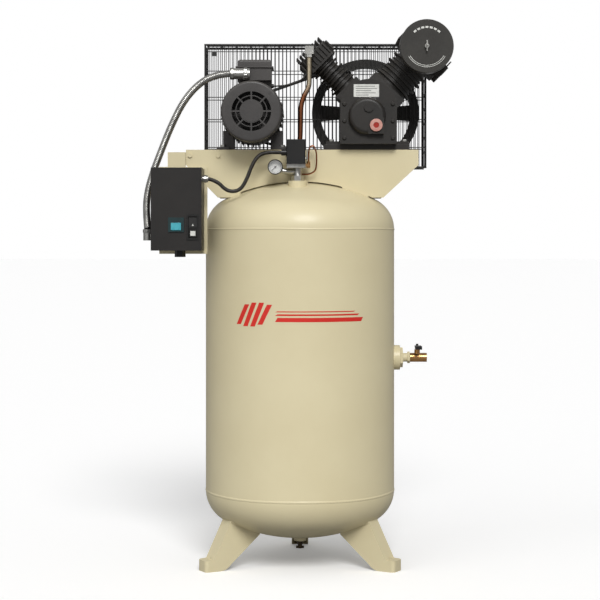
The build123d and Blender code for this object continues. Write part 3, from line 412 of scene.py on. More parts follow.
def spline_piece(name, route, diameter, material):
    """A round cord along a smooth curve through its control points."""
    curve = bpy.data.curves.new(name, "CURVE")
    curve.dimensions = "3D"
    line = curve.splines.new("NURBS")
    line.points.add(len(route) - 1)
    for point, place in zip(line.points, route):
        point.co = (*place, 1.0)
    line.order_u = 3
    line.use_endpoint_u = True
    line.resolution_u = 12
    curve.bevel_depth = diameter / 2
    curve.bevel_resolution = 6
    curve.use_fill_caps = True
    piece = bpy.data.objects.new(name, curve)
    bpy.context.scene.collection.objects.link(piece)
    if material:
        curve.materials.append(material)
    return piece


def centreline(piece):
    """The points of a curve's own line, in order."""
    curve = piece.data
    width, curve.bevel_depth = curve.bevel_depth, 0.0
    caps, curve.use_fill_caps = curve.use_fill_caps, False
    bpy.context.view_layer.update()
    line = bpy.data.meshes.new_from_object(piece.evaluated_get(bpy.context.evaluated_depsgraph_get()))
    curve.bevel_depth, curve.use_fill_caps = width, caps
    points = [vertex.co.copy() for vertex in line.vertices]
    bpy.data.meshes.remove(line)
    return points


def path_length(points):
    """Length of a line through points."""
    return sum((after - before).length for before, after in zip(points, points[1:]))


rubber = finish(
    "cable_rubber", (38, 33, 28), (26, 23, 20), (70, 62, 54),
    roughness=(0.38, 0.55), fine=1500, coarse=120, bump=0.15, wear=0.0, dirt=0.12,
)

CABLE_DIAMETER = 0.012
CABLE_ROUTE = [
    (-0.289, -0.170, 1.234),
    (-0.263, -0.171, 1.229),
    (-0.229, -0.171, 1.194),
    (-0.191, -0.170, 1.196),
    (-0.170, -0.168, 1.226),
    (-0.151, -0.164, 1.279),
    (-0.130, -0.160, 1.311),
    (-0.094, -0.154, 1.320),
    (-0.059, -0.150, 1.318),
]
cable = spline_piece("switch_cable_rubber", CABLE_ROUTE, CABLE_DIAMETER, rubber)
keep(cable, "frame", "switch_cable")

LEAD_DIAMETER = 0.005
LEAD_ROUTE = [
    (0.0131, -0.060, 1.5631),
    (0.002, -0.060, 1.553),
    (-0.016, -0.0605, 1.545),
    (-0.038, -0.061, 1.539),
    (-0.061, -0.061, 1.5355),
    (-0.084, -0.060, 1.535),
]
lead = spline_piece("sensor_lead_rubber", LEAD_ROUTE, LEAD_DIAMETER, rubber)
keep(lead, "frame", "sensor_lead")

galvanised = finish(
    "galvanised_strip", (188, 187, 182), (150, 149, 146), (96, 94, 90),
    metallic=1.0, roughness=(0.24, 0.42), patch=30, fine=1800, bump=0.08, wear=0.2, dirt=0.1,
)

CONDUIT_DIAMETER = 0.023
CONDUIT_ROUTE = [
    (-0.219, -0.170, 1.565),
    (-0.258, -0.168, 1.563),
    (-0.313, -0.152, 1.541),
    (-0.367, -0.131, 1.486),
    (-0.410, -0.110, 1.405),
    (-0.444, -0.086, 1.325),
    (-0.474, -0.064, 1.252),
    (-0.489, -0.076, 1.190),
    (-0.490, -0.105, 1.132),
    (-0.482, -0.140, 1.076),
]
RIB_PITCH = 0.0052
RIB_PROFILE = ((0.0, 0.86), (0.18, 0.90), (0.34, 1.0), (0.66, 1.0), (0.82, 0.90))
guide = spline_piece("conduit_guide", CONDUIT_ROUTE, CONDUIT_DIAMETER, None)
conduit_line = centreline(guide)
bpy.data.objects.remove(guide)


def along(points, distance):
    """The point at a distance along a line, and the direction there."""
    for before, after in zip(points, points[1:]):
        step = after - before
        if distance <= step.length:
            return before + step.normalized() * distance, step.normalized()
        distance -= step.length
    return points[-1].copy(), (points[-1] - points[-2]).normalized()


def ringed_tube(name, points, rings, sides, material):
    """A tube round a line, its rings given as (distance along, radius)."""
    shape = bmesh.new()
    loops = []
    side_ways = None
    for distance, radius in rings:
        centre, forward = along(points, distance)
        side_ways = forward.orthogonal() if side_ways is None else side_ways
        side_ways = (side_ways - forward * side_ways.dot(forward)).normalized()
        other = forward.cross(side_ways)
        loop = []
        for side in range(sides):
            turn = 2 * math.pi * side / sides
            offset = side_ways * math.cos(turn) + other * math.sin(turn)
            loop.append(shape.verts.new(centre + offset * radius))
        loops.append(loop)
    joined(shape, loops)
    piece = settled(shape, name, material)
    piece.data.polygons.foreach_set("use_smooth", [True] * len(piece.data.polygons))
    return piece


conduit_length = path_length(conduit_line)
rib_count = int(conduit_length / RIB_PITCH)
conduit_rings = []
for rib in range(rib_count):
    for share, size in RIB_PROFILE:
        conduit_rings.append(((rib + share) * conduit_length / rib_count, size * CONDUIT_DIAMETER / 2))
conduit_rings.append((conduit_length, 0.86 * CONDUIT_DIAMETER / 2))
conduit = ringed_tube("conduit_steel", conduit_line, conduit_rings, 24, galvanised)
keep(conduit, "frame", "conduit")

# --- Tank -----------------------------------------------------------------------------------------
# Rolled steel shell, 610 mm across, closed by two pressed dished heads and sprayed in a beige
# enamel. A machine weld runs round each head, and one straight weld runs down the back.

beige = finish(
    "beige_enamel", (219, 208, 172), (212, 200, 163), (150, 138, 110),
    roughness=(0.34, 0.44), patch=2.2, fine=420, coarse=90, coarse_share=0.35, bump=0.05,
    depth=0.0003, wear=0.12, dirt=0.05, coat=0.05,
)


def smooth_by_angle(mesh, degrees):
    """Shades a mesh smooth, with its edges past this angle kept sharp."""
    mesh.polygons.foreach_set("use_smooth", [True] * len(mesh.polygons))
    mesh.set_sharp_from_angle(angle=math.radians(degrees))


def lathed(name, outline, material, centre=(0, 0, 0), axis="Z", sides=96, sharp=35, closed=False):
    """A turned piece: an outline of (radius, height) points spun round an axis."""
    shape = bmesh.new()
    turn_axis = {"X": Matrix.Rotation(math.radians(90), 4, "Y"), "Z": Matrix.Identity(4)}
    turn_axis["Y"] = Matrix.Rotation(math.radians(-90), 4, "X")
    to_place = Matrix.Translation(centre) @ turn_axis[axis]
    loops = []
    for radius, height in outline:
        if radius < 1e-6:
            loops.append([shape.verts.new(to_place @ Vector((0, 0, height)))])
            continue
        loop = []
        for side in range(sides):
            turn = 2 * math.pi * side / sides
            place = Vector((radius * math.cos(turn), radius * math.sin(turn), height))
            loop.append(shape.verts.new(to_place @ place))
        loops.append(loop)
    pairs = list(zip(loops, loops[1:])) + ([(loops[-1], loops[0])] if closed else [])
    for near, far in pairs:
        for side in range(sides):
            after = (side + 1) % sides
            if len(near) == 1 and len(far) == 1:
                break
            if len(near) == 1:
                shape.faces.new((near[0], far[after], far[side]))
            elif len(far) == 1:
                shape.faces.new((near[side], near[after], far[0]))
            else:
                shape.faces.new((near[side], near[after], far[after], far[side]))
    bmesh.ops.recalc_face_normals(shape, faces=shape.faces)
    piece = settled(shape, name, material)
    smooth_by_angle(piece.data, sharp)
    return piece


low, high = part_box("tank_shell")
TANK_R = high.x
SEAM_LOW, SEAM_HIGH = low.z, high.z
CROWN_R = 0.904 * 2 * TANK_R
KNUCKLE_R = 0.173 * 2 * TANK_R
CROWN_DROP = math.sqrt((CROWN_R - KNUCKLE_R) ** 2 - (TANK_R - KNUCKLE_R) ** 2)
WALL = 0.004


def head_outline(wall):
    """The dished head's face from the rim to the pole, moved in by the wall."""
    swing = math.atan2(CROWN_DROP, TANK_R - KNUCKLE_R)
    points = []
    for step in range(15):
        turn = swing * step / 14
        points.append(
            (
                TANK_R - KNUCKLE_R + (KNUCKLE_R - wall) * math.cos(turn),
                (KNUCKLE_R - wall) * math.sin(turn),
            )
        )
    for step in range(1, 25):
        turn = swing + (math.pi / 2 - swing) * step / 24
        reach = CROWN_R - wall
        points.append((reach * math.cos(turn), reach * math.sin(turn) - CROWN_DROP))
    points[-1] = (0.0, points[-1][1])
    return points


def dished_head(name, seam, up):
    """A head with its wall and its short skirt."""
    outside = [(radius, seam + up * rise) for radius, rise in head_outline(0.0)]
    inside = [(radius, seam + up * rise) for radius, rise in head_outline(WALL)]
    skirt = [(TANK_R - WALL, seam - up * 0.02), (TANK_R - 2 * WALL, seam - up * 0.02)]
    return lathed(name, outside[::-1] + skirt + inside[:-1] + [(0.0, inside[-1][1])], beige, sides=160)


shell_outline = [
    (TANK_R, SEAM_LOW), (TANK_R, SEAM_HIGH),
    (TANK_R - WALL, SEAM_HIGH), (TANK_R - WALL, SEAM_LOW),
]
shell = lathed("tank_shell_steel", shell_outline, beige, sides=160, closed=True)
keep(shell, "frame", "tank_shell")
keep(dished_head("tank_top_head_steel", SEAM_HIGH, 1), "frame", "tank_top_head")
keep(dished_head("tank_bottom_head_steel", SEAM_LOW, -1), "frame", "tank_bottom_head")

WELD_WIDTH, WELD_PROUD = 0.0095, 0.0016
random.seed(7)


def weld_ring(name, seam, width):
    """A round machine weld with the fine overlapping ripples that the torch leaves."""
    shape = bmesh.new()
    steps, across = 720, 6
    loops = []
    for step in range(steps):
        turn = 2 * math.pi * step / steps
        ripple = 1.0 + 0.12 * math.sin(step * math.pi / 2) + random.uniform(-0.05, 0.05)
        drift = 0.0006 * math.sin(turn * 5 + seam * 40)
        loop = []
        for place in range(across + 1):
            share = place / across * 2 - 1
            proud = WELD_PROUD * ripple * max(0.0, 1 - share**2)
            radius = TANK_R - 0.0004 + proud
            height = seam + drift + share * width / 2
            loop.append(shape.verts.new((radius * math.cos(turn), radius * math.sin(turn), height)))
        loops.append(loop)
    for step in range(steps):
        near, far = loops[step], loops[(step + 1) % steps]
        for place in range(across):
            shape.faces.new((near[place], far[place], far[place + 1], near[place + 1]))
    piece = settled(shape, name, beige)
    smooth_by_angle(piece.data, 80)
    return piece


keep(weld_ring("top_weld", SEAM_HIGH, WELD_WIDTH * 0.8), "frame")
keep(weld_ring("bottom_weld", SEAM_LOW, WELD_WIDTH), "frame")

seam_start, seam_rise = SEAM_LOW + 0.006, SEAM_HIGH - SEAM_LOW - 0.012
seam_points = [Vector((0.0, TANK_R - 0.0012, seam_start + seam_rise * n / 400)) for n in range(401)]
seam_length = path_length(seam_points)
seam_rings = []
for ring in range(1601):
    bead_r = 0.0030 + 0.00022 * math.sin(ring * math.pi / 2)
    seam_rings.append((seam_length * ring / 1600, bead_r))
keep(ringed_tube("back_weld", seam_points, seam_rings, 8, beige), "frame")


# --- Tank graphic ---------------------------------------------------------------------------------
# A thin printed vinyl graphic on the front of the shell: plain slanted red bars and a long
# stripe, laid on in register with the tank's curve.

vinyl = finish(
    "red_vinyl", (214, 48, 38), (204, 42, 34), (170, 60, 50),
    roughness=(0.3, 0.38), patch=8, fine=700, bump=0.02, wear=0.02, dirt=0.03,
)
GRAPHIC_Z = 0.812
VINYL_R = TANK_R + 0.0003


def graphic_strip(shape, corners):
    """A patch of vinyl on the tank from corners of (distance round, height)."""
    (left, low), (right, _), (right_top, high), (left_top, _) = corners
    columns = max(2, int(abs(right - left) / 0.004))
    rows = []
    for row in range(3):
        up = row / 2
        start, end = left + (left_top - left) * up, right + (right_top - right) * up
        line = []
        for column in range(columns + 1):
            turn = (start + (end - start) * column / columns) / VINYL_R - math.pi / 2
            z = low + (high - low) * up
            line.append(shape.verts.new((VINYL_R * math.cos(turn), VINYL_R * math.sin(turn), z)))
        rows.append(line)
    for near, far in zip(rows, rows[1:]):
        for column in range(columns):
            shape.faces.new((near[column], near[column + 1], far[column + 1], far[column]))


graphic = bmesh.new()
slant = 0.016
for bar in range(4):
    start = -0.198 + bar * 0.026
    half = 0.040 - abs(bar - 1.5) * 0.006
    graphic_strip(
        graphic,
        [
            (start - slant, GRAPHIC_Z - half),
            (start + 0.017 - slant, GRAPHIC_Z - half),
            (start + 0.017 + slant, GRAPHIC_Z + half),
            (start + slant, GRAPHIC_Z + half),
        ],
    )
STRIPES = ((-0.022, -0.009, 0.205), (-0.003, 0.002, 0.190), (0.008, 0.011, 0.175))
for low_z, high_z, end in STRIPES:
    graphic_strip(
        graphic,
        [
            (-0.078, GRAPHIC_Z + low_z),
            (end, GRAPHIC_Z + low_z),
            (end + 0.008, GRAPHIC_Z + high_z),
            (-0.070, GRAPHIC_Z + high_z),
        ],
    )
bmesh.ops.recalc_face_normals(graphic, faces=graphic.faces)
for face in graphic.faces:
    centre = face.calc_center_median()
    if face.normal.dot(Vector((centre.x, centre.y, 0))) < 0:
        face.normal_flip()
tank_graphic = settled(graphic, "tank_graphic", vinyl)
smooth_by_angle(tank_graphic.data, 60)
keep(tank_graphic, "frame")

# --- Parts kept from the frame --------------------------------------------------------------------
# Pressed, cast and machined parts keep the frame's own shape. Their flat faces are made whole
# again and every sharp edge gets the small round that a tumbled, painted or cast part has.


def islands(shape):
    """The separate solids of a mesh, as lists of faces."""
    left, found = set(shape.faces), []
    while left:
        start = left.pop()
        group, front = [start], [start]
        while front:
            face = front.pop()
            for edge in face.edges:
                for other in edge.link_faces:
                    if other in left:
                        left.remove(other)
                        group.append(other)
                        front.append(other)
        found.append(group)
    return found


def extent(faces):
    """The middle and the size of a group of faces' box."""
    places = [vertex.co for face in faces for vertex in face.verts]
    low = Vector([min(place[i] for place in places) for i in range(3)])
    high = Vector([max(place[i] for place in places) for i in range(3)])
    return (low + high) / 2, high - low


def dressed(
    node, *materials, choose=None, body="frame", round_edge=0.0009, segments=2, sharp=32,
    corner=None, corner_radius=0.0,
):
    """A part of the frame, its edges rounded and each of its solids given a finish.

    Edges for which corner(edge) is true get a large round of corner_radius first.
    """
    shape = bmesh.new()
    shape.from_mesh(nodes[node].data)
    bmesh.ops.remove_doubles(shape, verts=shape.verts, dist=2e-6)
    solids = islands(shape)
    for number, faces in enumerate(solids):
        index = choose(*extent(faces)) if choose else 0
        for face in faces:
            face.material_index = index
    bmesh.ops.dissolve_limit(
        shape, angle_limit=math.radians(0.6), verts=shape.verts, edges=shape.edges, delimit={"MATERIAL"}
    )
    if corner:
        chosen = [edge for edge in shape.edges if corner(edge)]
        bmesh.ops.bevel(
            shape, geom=chosen, offset=corner_radius, offset_type="OFFSET", segments=6,
            profile=0.5, affect="EDGES", clamp_overlap=True,
        )
    piece = settled(shape, node + "_made", *materials)
    smooth_by_angle(piece.data, sharp)
    if round_edge:
        bevel = piece.modifiers.new("edge", "BEVEL")
        bevel.width = round_edge
        bevel.segments = segments
        bevel.limit_method = "ANGLE"
        bevel.angle_limit = math.radians(sharp)
        bevel.harden_normals = True
        bevel.use_clamp_overlap = True
    return keep(piece, body, node)


# --- Feet, bosses and platform --------------------------------------------------------------------
# The feet are channels pressed from 5 mm sheet and welded under the bottom head. The platform is
# one folded sheet with deep aprons cut to the dome. All are painted with the tank.

BOLT_CIRCLE_R = 0.330
FOOT_ANGLES = (210, 330, 90)


def toe_corner(edge):
    """An upright edge at the tip of a foot, away from its bolt hole."""
    near, far = (vertex.co for vertex in edge.verts)
    upright = math.hypot(near.x - far.x, near.y - far.y) < 1e-5 and abs(near.z - far.z) > 0.002
    if not upright or max(near.z, far.z) > 0.04:
        return False
    turns = [Matrix.Rotation(math.radians(angle), 3, "Z") for angle in FOOT_ANGLES]
    holes = [turn @ Vector((BOLT_CIRCLE_R, 0, 0)) for turn in turns]
    clear = all(math.hypot(near.x - hole.x, near.y - hole.y) > 0.011 for hole in holes)
    return clear and math.hypot(near.x, near.y) > BOLT_CIRCLE_R


dressed("feet", beige, round_edge=0.0024, segments=3, corner=toe_corner, corner_radius=0.011)
dressed("tank_couplings", beige, round_edge=0.0018, segments=3)
dressed("platform", beige, round_edge=0.0016, segments=3)
dressed("starter_bracket", beige, round_edge=0.0008)


def fillet_weld(name, points, radius, material):
    """A hand-laid weld bead along a line, with its stacked ripples."""
    length = path_length(points)
    count = max(8, int(length / 0.0012))
    rings = []
    for step in range(count + 1):
        ripple = 1 + 0.13 * math.sin(step * 2.1) + random.uniform(-0.08, 0.08)
        rings.append((length * step / count, radius * ripple))
    return keep(ringed_tube(name, points, rings, 8, material), "frame")


BEAD = 0.0035


def head_low_z(radius):
    """Height of the bottom head's outside at a distance from the axis."""
    knee = (TANK_R - KNUCKLE_R) * CROWN_R / (CROWN_R - KNUCKLE_R)
    if radius < knee:
        return SEAM_LOW + CROWN_DROP - math.sqrt(CROWN_R**2 - radius**2)
    return SEAM_LOW - math.sqrt(max(0.0, KNUCKLE_R**2 - (radius - TANK_R + KNUCKLE_R) ** 2))


for foot, angle in zip(("left", "right", "rear"), FOOT_ANGLES):
    turn = Matrix.Rotation(math.radians(angle), 4, "Z")
    for side in (-1, 1):
        line = []
        for step in range(40):
            distance = 0.172 + (0.266 - 0.172) * step / 39
            reach = math.hypot(distance, 0.029)
            line.append(turn @ Vector((distance, side * 0.0290, head_low_z(reach))))
        fillet_weld(f"foot_weld_{foot}_{'near' if side < 0 else 'far'}", line, BEAD, beige)


# --- Starter box ----------------------------------------------------------------------------------
# A moulded black cover over a black pressed base holds the contactor. A teal reset button and a
# rocker switch sit in dark bezels on its front face, and the box hangs on the painted bracket.

starter_black = finish(
    "starter_black", (36, 33, 31), (27, 25, 24), (80, 76, 70),
    roughness=(0.32, 0.46), patch=6, fine=1100, coarse=260, coarse_share=0.3, bump=0.22,
    depth=0.0003, wear=0.12, dirt=0.06,
)
bezel_teal = finish(
    "bezel_teal", (22, 52, 54), (17, 42, 44), (70, 100, 100),
    roughness=(0.35, 0.5), patch=20, fine=1300, bump=0.15, wear=0.1, dirt=0.05,
)
button_teal = finish(
    "button_teal", (78, 172, 184), (62, 152, 166), (170, 210, 210),
    roughness=(0.2, 0.32), patch=40, fine=1500, bump=0.08, wear=0.15, dirt=0.03, coat=0.2,
)
moulded_black = finish(
    "moulded_black", (24, 23, 22), (17, 17, 17), (66, 64, 60),
    roughness=(0.3, 0.45), patch=14, fine=1600, coarse=300, bump=0.2, wear=0.1, dirt=0.05,
)
print_white = finish(
    "print_white", (222, 222, 216), (206, 206, 200), (150, 150, 146),
    roughness=(0.4, 0.5), patch=60, fine=1600, bump=0.04, wear=0.05, dirt=0.03,
)
zinc = finish(
    "zinc_plate", (196, 195, 190), (160, 159, 155), (110, 106, 98),
    metallic=1.0, roughness=(0.25, 0.42), patch=24, fine=1500, coarse=200, bump=0.12,
    wear=0.25, dirt=0.1,
)
dressed("starter_base", starter_black)
dressed("starter_cover", starter_black, round_edge=0.003, segments=3)
dressed("operator_bezels", bezel_teal, moulded_black, choose=lambda at, size: int(at.x > -0.36))
dressed("reset_button", button_teal, body="button", round_edge=0.0015, segments=3)
dressed("start_stop_rocker", moulded_black, body="rocker", round_edge=0.0012, segments=3)
contactor_resin = finish(
    "contactor_resin", (60, 60, 58), (48, 48, 47), (90, 88, 84),
    roughness=(0.4, 0.55), patch=30, fine=1400, bump=0.2, wear=0.1, dirt=0.1,
)
dressed("starter_contactor", contactor_resin, zinc, choose=lambda at, size: int(at.y > -0.105))


def raised_patch(name, corners, depth, material, body="frame"):
    """A thin raised print or plate, from its front corners (x, y, z), pushed back by a depth."""
    shape = bmesh.new()
    front = [shape.verts.new(corner) for corner in corners]
    back = [shape.verts.new((x, y + depth, z)) for x, y, z in corners]
    shape.faces.new(front)
    shape.faces.new(back[::-1])
    for side in range(len(front)):
        after = (side + 1) % len(front)
        shape.faces.new((front[side], back[side], back[after], front[after]))
    bmesh.ops.recalc_face_normals(shape, faces=shape.faces)
    return keep(settled(shape, name, material), body)


def plate_corners(x0, x1, y, z0, z1):
    """The corners of an upright rectangle facing the front."""
    return [(x0, y, z0), (x1, y, z0), (x1, y, z1), (x0, y, z1)]


rocker_mesh = nodes["start_stop_rocker"].data
rocker_faces = BVHTree.FromPolygons(
    [vertex.co for vertex in rocker_mesh.vertices],
    [list(face.vertices) for face in rocker_mesh.polygons],
)


def rocker_front(x, z):
    """The rocker's front surface under a point, found by a ray from the front."""
    place = rocker_faces.ray_cast(Vector((x, -0.4, z)), Vector((0, 1, 0)))[0]
    return (x, place.y - 0.0003, z)


OFF_SQUARE = ((-0.341, 1.055), (-0.325, 1.055), (-0.325, 1.070), (-0.341, 1.070))
ON_TRIANGLE = ((-0.336, 1.086), (-0.330, 1.086), (-0.333, 1.093))
off_mark = [rocker_front(x, z) for x, z in OFF_SQUARE]
on_mark = [rocker_front(x, z) for x, z in ON_TRIANGLE]
raised_patch("rocker_off_mark", off_mark, 0.0006, print_white, "rocker")
raised_patch("rocker_on_mark", on_mark, 0.0006, print_white, "rocker")

# --- Wiring entries -------------------------------------------------------------------------------
# Screwed connectors and elbows of zinc-plated steel hold the conduit's ends. The cable glands
# are moulded black nylon, and the lead ends in a small black sensor body and a rubber grommet.

dressed(
    "wiring_fittings", zinc, moulded_black,
    choose=lambda at, size: int(at.z < 1.01 or at.y > -0.1 or -0.1 < at.x < -0.03),
    round_edge=0.0008,
)


def nut_ring(name, start, end, radius, points, material, body="frame"):
    """A ridged lock nut round a line from start to end."""
    start, end = Vector(start), Vector(end)
    forward = (end - start).normalized()
    side_ways = forward.orthogonal().normalized()
    other = forward.cross(side_ways)
    shape = bmesh.new()
    loops = []
    for share, size in ((0.0, 0.9), (0.15, 1.0), (0.85, 1.0), (1.0, 0.9)):
        loop = []
        for step in range(points * 4):
            turn = 2 * math.pi * step / (points * 4)
            reach = radius * size * (1.0 if step % 4 in (0, 1) else 0.955)
            loop.append(shape.verts.new(
                start.lerp(end, share) + (side_ways * math.cos(turn) + other * math.sin(turn)) * reach
            ))
        loops.append(loop)
    joined(shape, loops)
    return keep(settled(shape, name, material), body)


nut_ring("motor_connector_nut", (-0.178, -0.170, 1.565), (-0.164, -0.170, 1.565), 0.0195, 12, zinc)
nut_ring("motor_connector_cap", (-0.219, -0.170, 1.565), (-0.207, -0.170, 1.565), 0.0190, 8, zinc)
nut_ring("box_connector_cap", (-0.482, -0.140, 1.076), (-0.482, -0.140, 1.064), 0.0155, 8, zinc)
nut_ring("cable_entry_nut", (-0.302, -0.170, 1.234), (-0.294, -0.170, 1.234), 0.0125, 8, zinc)

# --- Manifold, switch and gauge -------------------------------------------------------------------
# Plated steel fittings rise from the tank's top boss to the pressure switch, a black moulded
# cover on a zinc plate. The gauge has a white printed dial under a clear lens in a black case.

copper = finish(
    "bare_copper", (166, 104, 72), (120, 76, 52), (78, 50, 36),
    metallic=1.0, roughness=(0.26, 0.42), patch=18, fine=900, coarse=70, bump=0.08, wear=0.1, dirt=0.08,
)
brass = finish(
    "turned_brass", (208, 158, 104), (172, 126, 80), (112, 80, 48),
    metallic=1.0, roughness=(0.22, 0.38), patch=26, fine=1400, coarse=160, bump=0.1, wear=0.2, dirt=0.08,
)
dial_white = finish(
    "dial_white", (236, 236, 230), (226, 226, 220), (190, 190, 184),
    roughness=(0.4, 0.5), patch=90, fine=2200, bump=0.03, wear=0.0, dirt=0.0,
)
dressed("air_manifold", zinc)
dressed("pressure_switch_base", zinc, moulded_black, choose=lambda at, size: int(at.z > 1.3))
dressed("pressure_switch_cover", moulded_black, round_edge=0.0016, segments=3)
dressed("pressure_switch_lever", zinc, body="switch_lever")
dressed("unloader_line", copper, brass, choose=lambda at, size: int(size.z < 0.03), round_edge=0.0004)
dressed(
    "gauge_case", moulded_black, dial_white, zinc,
    choose=lambda at, size: 1 if size.y < 0.004 else (2 if size.x > 0.0425 and at.x > -0.07 else 0),
)
dressed("gauge_needle", moulded_black, body="needle", round_edge=0.0)
lens_clear = bpy.data.materials.new("lens_clear")
lens_clear.use_nodes = True
lens_tree = lens_clear.node_tree
lens_surface = lens_tree.nodes["Principled BSDF"]
lens_surface.inputs["Alpha"].default_value = 0.1
lens_surface.inputs["IOR"].default_value = 1.45
lens_grain = group_node(lens_tree, grain, fine_scale=800, coarse_scale=90, coarse_share=0.7)
lens_gloss = put(lens_tree, "ShaderNodeMapRange", from_min=0.3, from_max=0.7, to_min=0.02, to_max=0.09)
lens_tint = group_node(
    lens_tree, mottle, color_a=(0.97, 0.98, 0.98, 1), color_b=(0.92, 0.94, 0.94, 1), scale=50
)
lens_relief = put(lens_tree, "ShaderNodeBump", strength=0.02, distance=0.0002)
wire(
    lens_tree,
    (lens_grain, "Height", lens_gloss, "Value"),
    (lens_gloss, "Result", lens_surface, "Roughness"),
    (lens_tint, "Color", lens_surface, "Base Color"),
    (lens_grain, "Height", lens_relief, "Height"),
    (lens_relief, "Normal", lens_surface, "Normal"),
)
dressed("gauge_lens", lens_clear, round_edge=0.0004)
case_low, case_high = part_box("gauge_lens")
gauge_middle = (case_low + case_high) / 2


def geometry_piece(name, build, inputs, material):
    """A mesh made by Geometry Nodes: build() wires the tree, and inputs names its inputs' values."""
    tree = bpy.data.node_groups.new(name, "GeometryNodeTree")
    kinds = {int: "NodeSocketInt", float: "NodeSocketFloat", tuple: "NodeSocketVector"}
    sockets = {}
    for label, value in inputs.items():
        kind = kinds[type(value)]
        sockets[label] = tree.interface.new_socket(label, in_out="INPUT", socket_type=kind)
    tree.interface.new_socket("Geometry", in_out="OUTPUT", socket_type="NodeSocketGeometry")
    given, result = tree.nodes.new("NodeGroupInput"), tree.nodes.new("NodeGroupOutput")
    last, out = build(tree, given)
    whole = tree.nodes.new("GeometryNodeRealizeInstances")
    paint = tree.nodes.new("GeometryNodeSetMaterial")
    paint.inputs["Material"].default_value = material
    wire(tree, (last, out, whole, 0), (whole, 0, paint, 0), (paint, 0, result, 0))
    holder = bpy.data.objects.new(name, bpy.data.meshes.new(name + "_seed"))
    bpy.context.scene.collection.objects.link(holder)
    grower = holder.modifiers.new("grow", "NODES")
    grower.node_group = tree
    for label, value in inputs.items():
        grower[sockets[label].identifier] = value
    bpy.context.view_layer.update()
    graph = bpy.context.evaluated_depsgraph_get()
    mesh = bpy.data.meshes.new_from_object(holder.evaluated_get(graph))
    mesh.name = name
    holder.modifiers.remove(grower)
    bpy.data.objects.remove(holder)
    bpy.data.node_groups.remove(tree)
    if not mesh.materials:
        mesh.materials.append(material)
    return make_object(name, mesh)


def ticks_round(tree, given):
    """Dial ticks on a circle facing the front, one box copied onto its points."""
    circle = put(tree, "GeometryNodeMeshCircle")
    stand = put(tree, "GeometryNodeTransform")
    stand.inputs["Rotation"].default_value = (math.radians(90), 0, 0)
    tick = put(tree, "GeometryNodeMeshCube")
    copies = tree.nodes.new("GeometryNodeInstanceOnPoints")
    spot = tree.nodes.new("GeometryNodeInputPosition")
    face = put(tree, "FunctionNodeAlignEulerToVector", axis="Z", pivot_axis="Y")
    move = put(tree, "GeometryNodeTransform")
    wire(
        tree,
        (given, "Count", circle, "Vertices"),
        (given, "Radius", circle, "Radius"),
        (circle, 0, stand, 0),
        (given, "Tick", tick, "Size"),
        (stand, 0, copies, "Points"),
        (tick, 0, copies, "Instance"),
        (spot, 0, face, "Vector"),
        (face, 0, copies, "Rotation"),
        (copies, 0, move, 0),
        (given, "Centre", move, "Translation"),
    )
    return move, 0


ticks = geometry_piece(
    "gauge_ticks", ticks_round,
    {
        "Count": 30,
        "Radius": 0.0172,
        "Tick": (0.0007, 0.0003, 0.0028),
        "Centre": (gauge_middle.x, -0.1513, gauge_middle.z),
    },
    moulded_black,
)
keep(ticks, "frame")

# --- Safety valve, outlet valve and drain ---------------------------------------------------------
# Turned brass valves screwed into the tank's bosses. The outlet ball valve has a plated steel
# lever with a black sleeve, and the safety valve is tested by the steel ring on its stem.

dark_brass = finish(
    "dark_brass", (74, 62, 46), (54, 46, 36), (120, 92, 56),
    metallic=0.8, roughness=(0.35, 0.5), patch=30, fine=900, bump=0.12, wear=0.2, dirt=0.1,
)
dressed("safety_valve_body", brass)
dressed("safety_valve_ring", zinc, body="safety_ring", round_edge=0.0)
dressed(
    "outlet_valve_body", beige, zinc, brass,
    choose=lambda at, size: 0 if size.z > 0.05 else (2 if at.x > 0.36 else 1),
)
dressed(
    "outlet_valve_lever", zinc, moulded_black, choose=lambda at, size: int(at.y < -0.03),
    body="outlet_lever",
)
dressed("drain_valve_body", dark_brass)
dressed("drain_valve_wing", dark_brass, body="drain_wing")

# --- Motor ----------------------------------------------------------------------------------------
# A foot-mounted motor with a ribbed rolled frame, cast end bells and a pressed fan cover, all
# dark grey. The stator, the rotor and the fan are inside, and the shaft turns in ball bearings.

motor_grey = finish(
    "motor_grey", (74, 71, 69), (60, 58, 57), (112, 110, 106),
    roughness=(0.34, 0.48), patch=7, fine=700, coarse=150, coarse_share=0.4, bump=0.14,
    depth=0.0003, wear=0.2, dirt=0.14,
)
bare_steel = finish(
    "machined_steel", (168, 166, 162), (138, 136, 132), (96, 92, 86),
    metallic=1.0, roughness=(0.22, 0.36), patch=22, fine=1700, coarse=220, bump=0.1, wear=0.2, dirt=0.04,
)
stator_steel = finish(
    "stator_steel", (96, 92, 90), (74, 70, 68), (120, 84, 60),
    metallic=0.8, roughness=(0.4, 0.55), patch=30, fine=1200, bump=0.2, wear=0.1, dirt=0.05,
)
dressed(
    "motor_frame", motor_grey, stator_steel,
    choose=lambda at, size: int(size.x < 0.185 and size.y < 0.14),
)
dressed("motor_endbells", motor_grey, round_edge=0.002, segments=3)
dressed("motor_fan_cover", motor_grey, round_edge=0.0008)
dressed("motor_conduit_box", motor_grey, round_edge=0.008, segments=5)
dressed(
    "motor_rotor", bare_steel, moulded_black, choose=lambda at, size: int(size.y < 0.1),
    body="motor_shaft",
)
dressed("shaft_bearings", bare_steel)
fan_low, fan_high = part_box("motor_fan_cover")
motor_x, motor_z = (fan_low.x + fan_high.x) / 2, (fan_low.z + fan_high.z) / 2
hub_outline = [
    (0.0, 0.0), (0.026, 0.0), (0.0275, 0.0016), (0.0325, 0.0016), (0.034, 0.0), (0.034, -0.001),
    (0.0, -0.001),
]
hub = lathed("fan_cover_ring", hub_outline, motor_grey, (motor_x, fan_low.y - 0.0002, motor_z), "Y", 64)
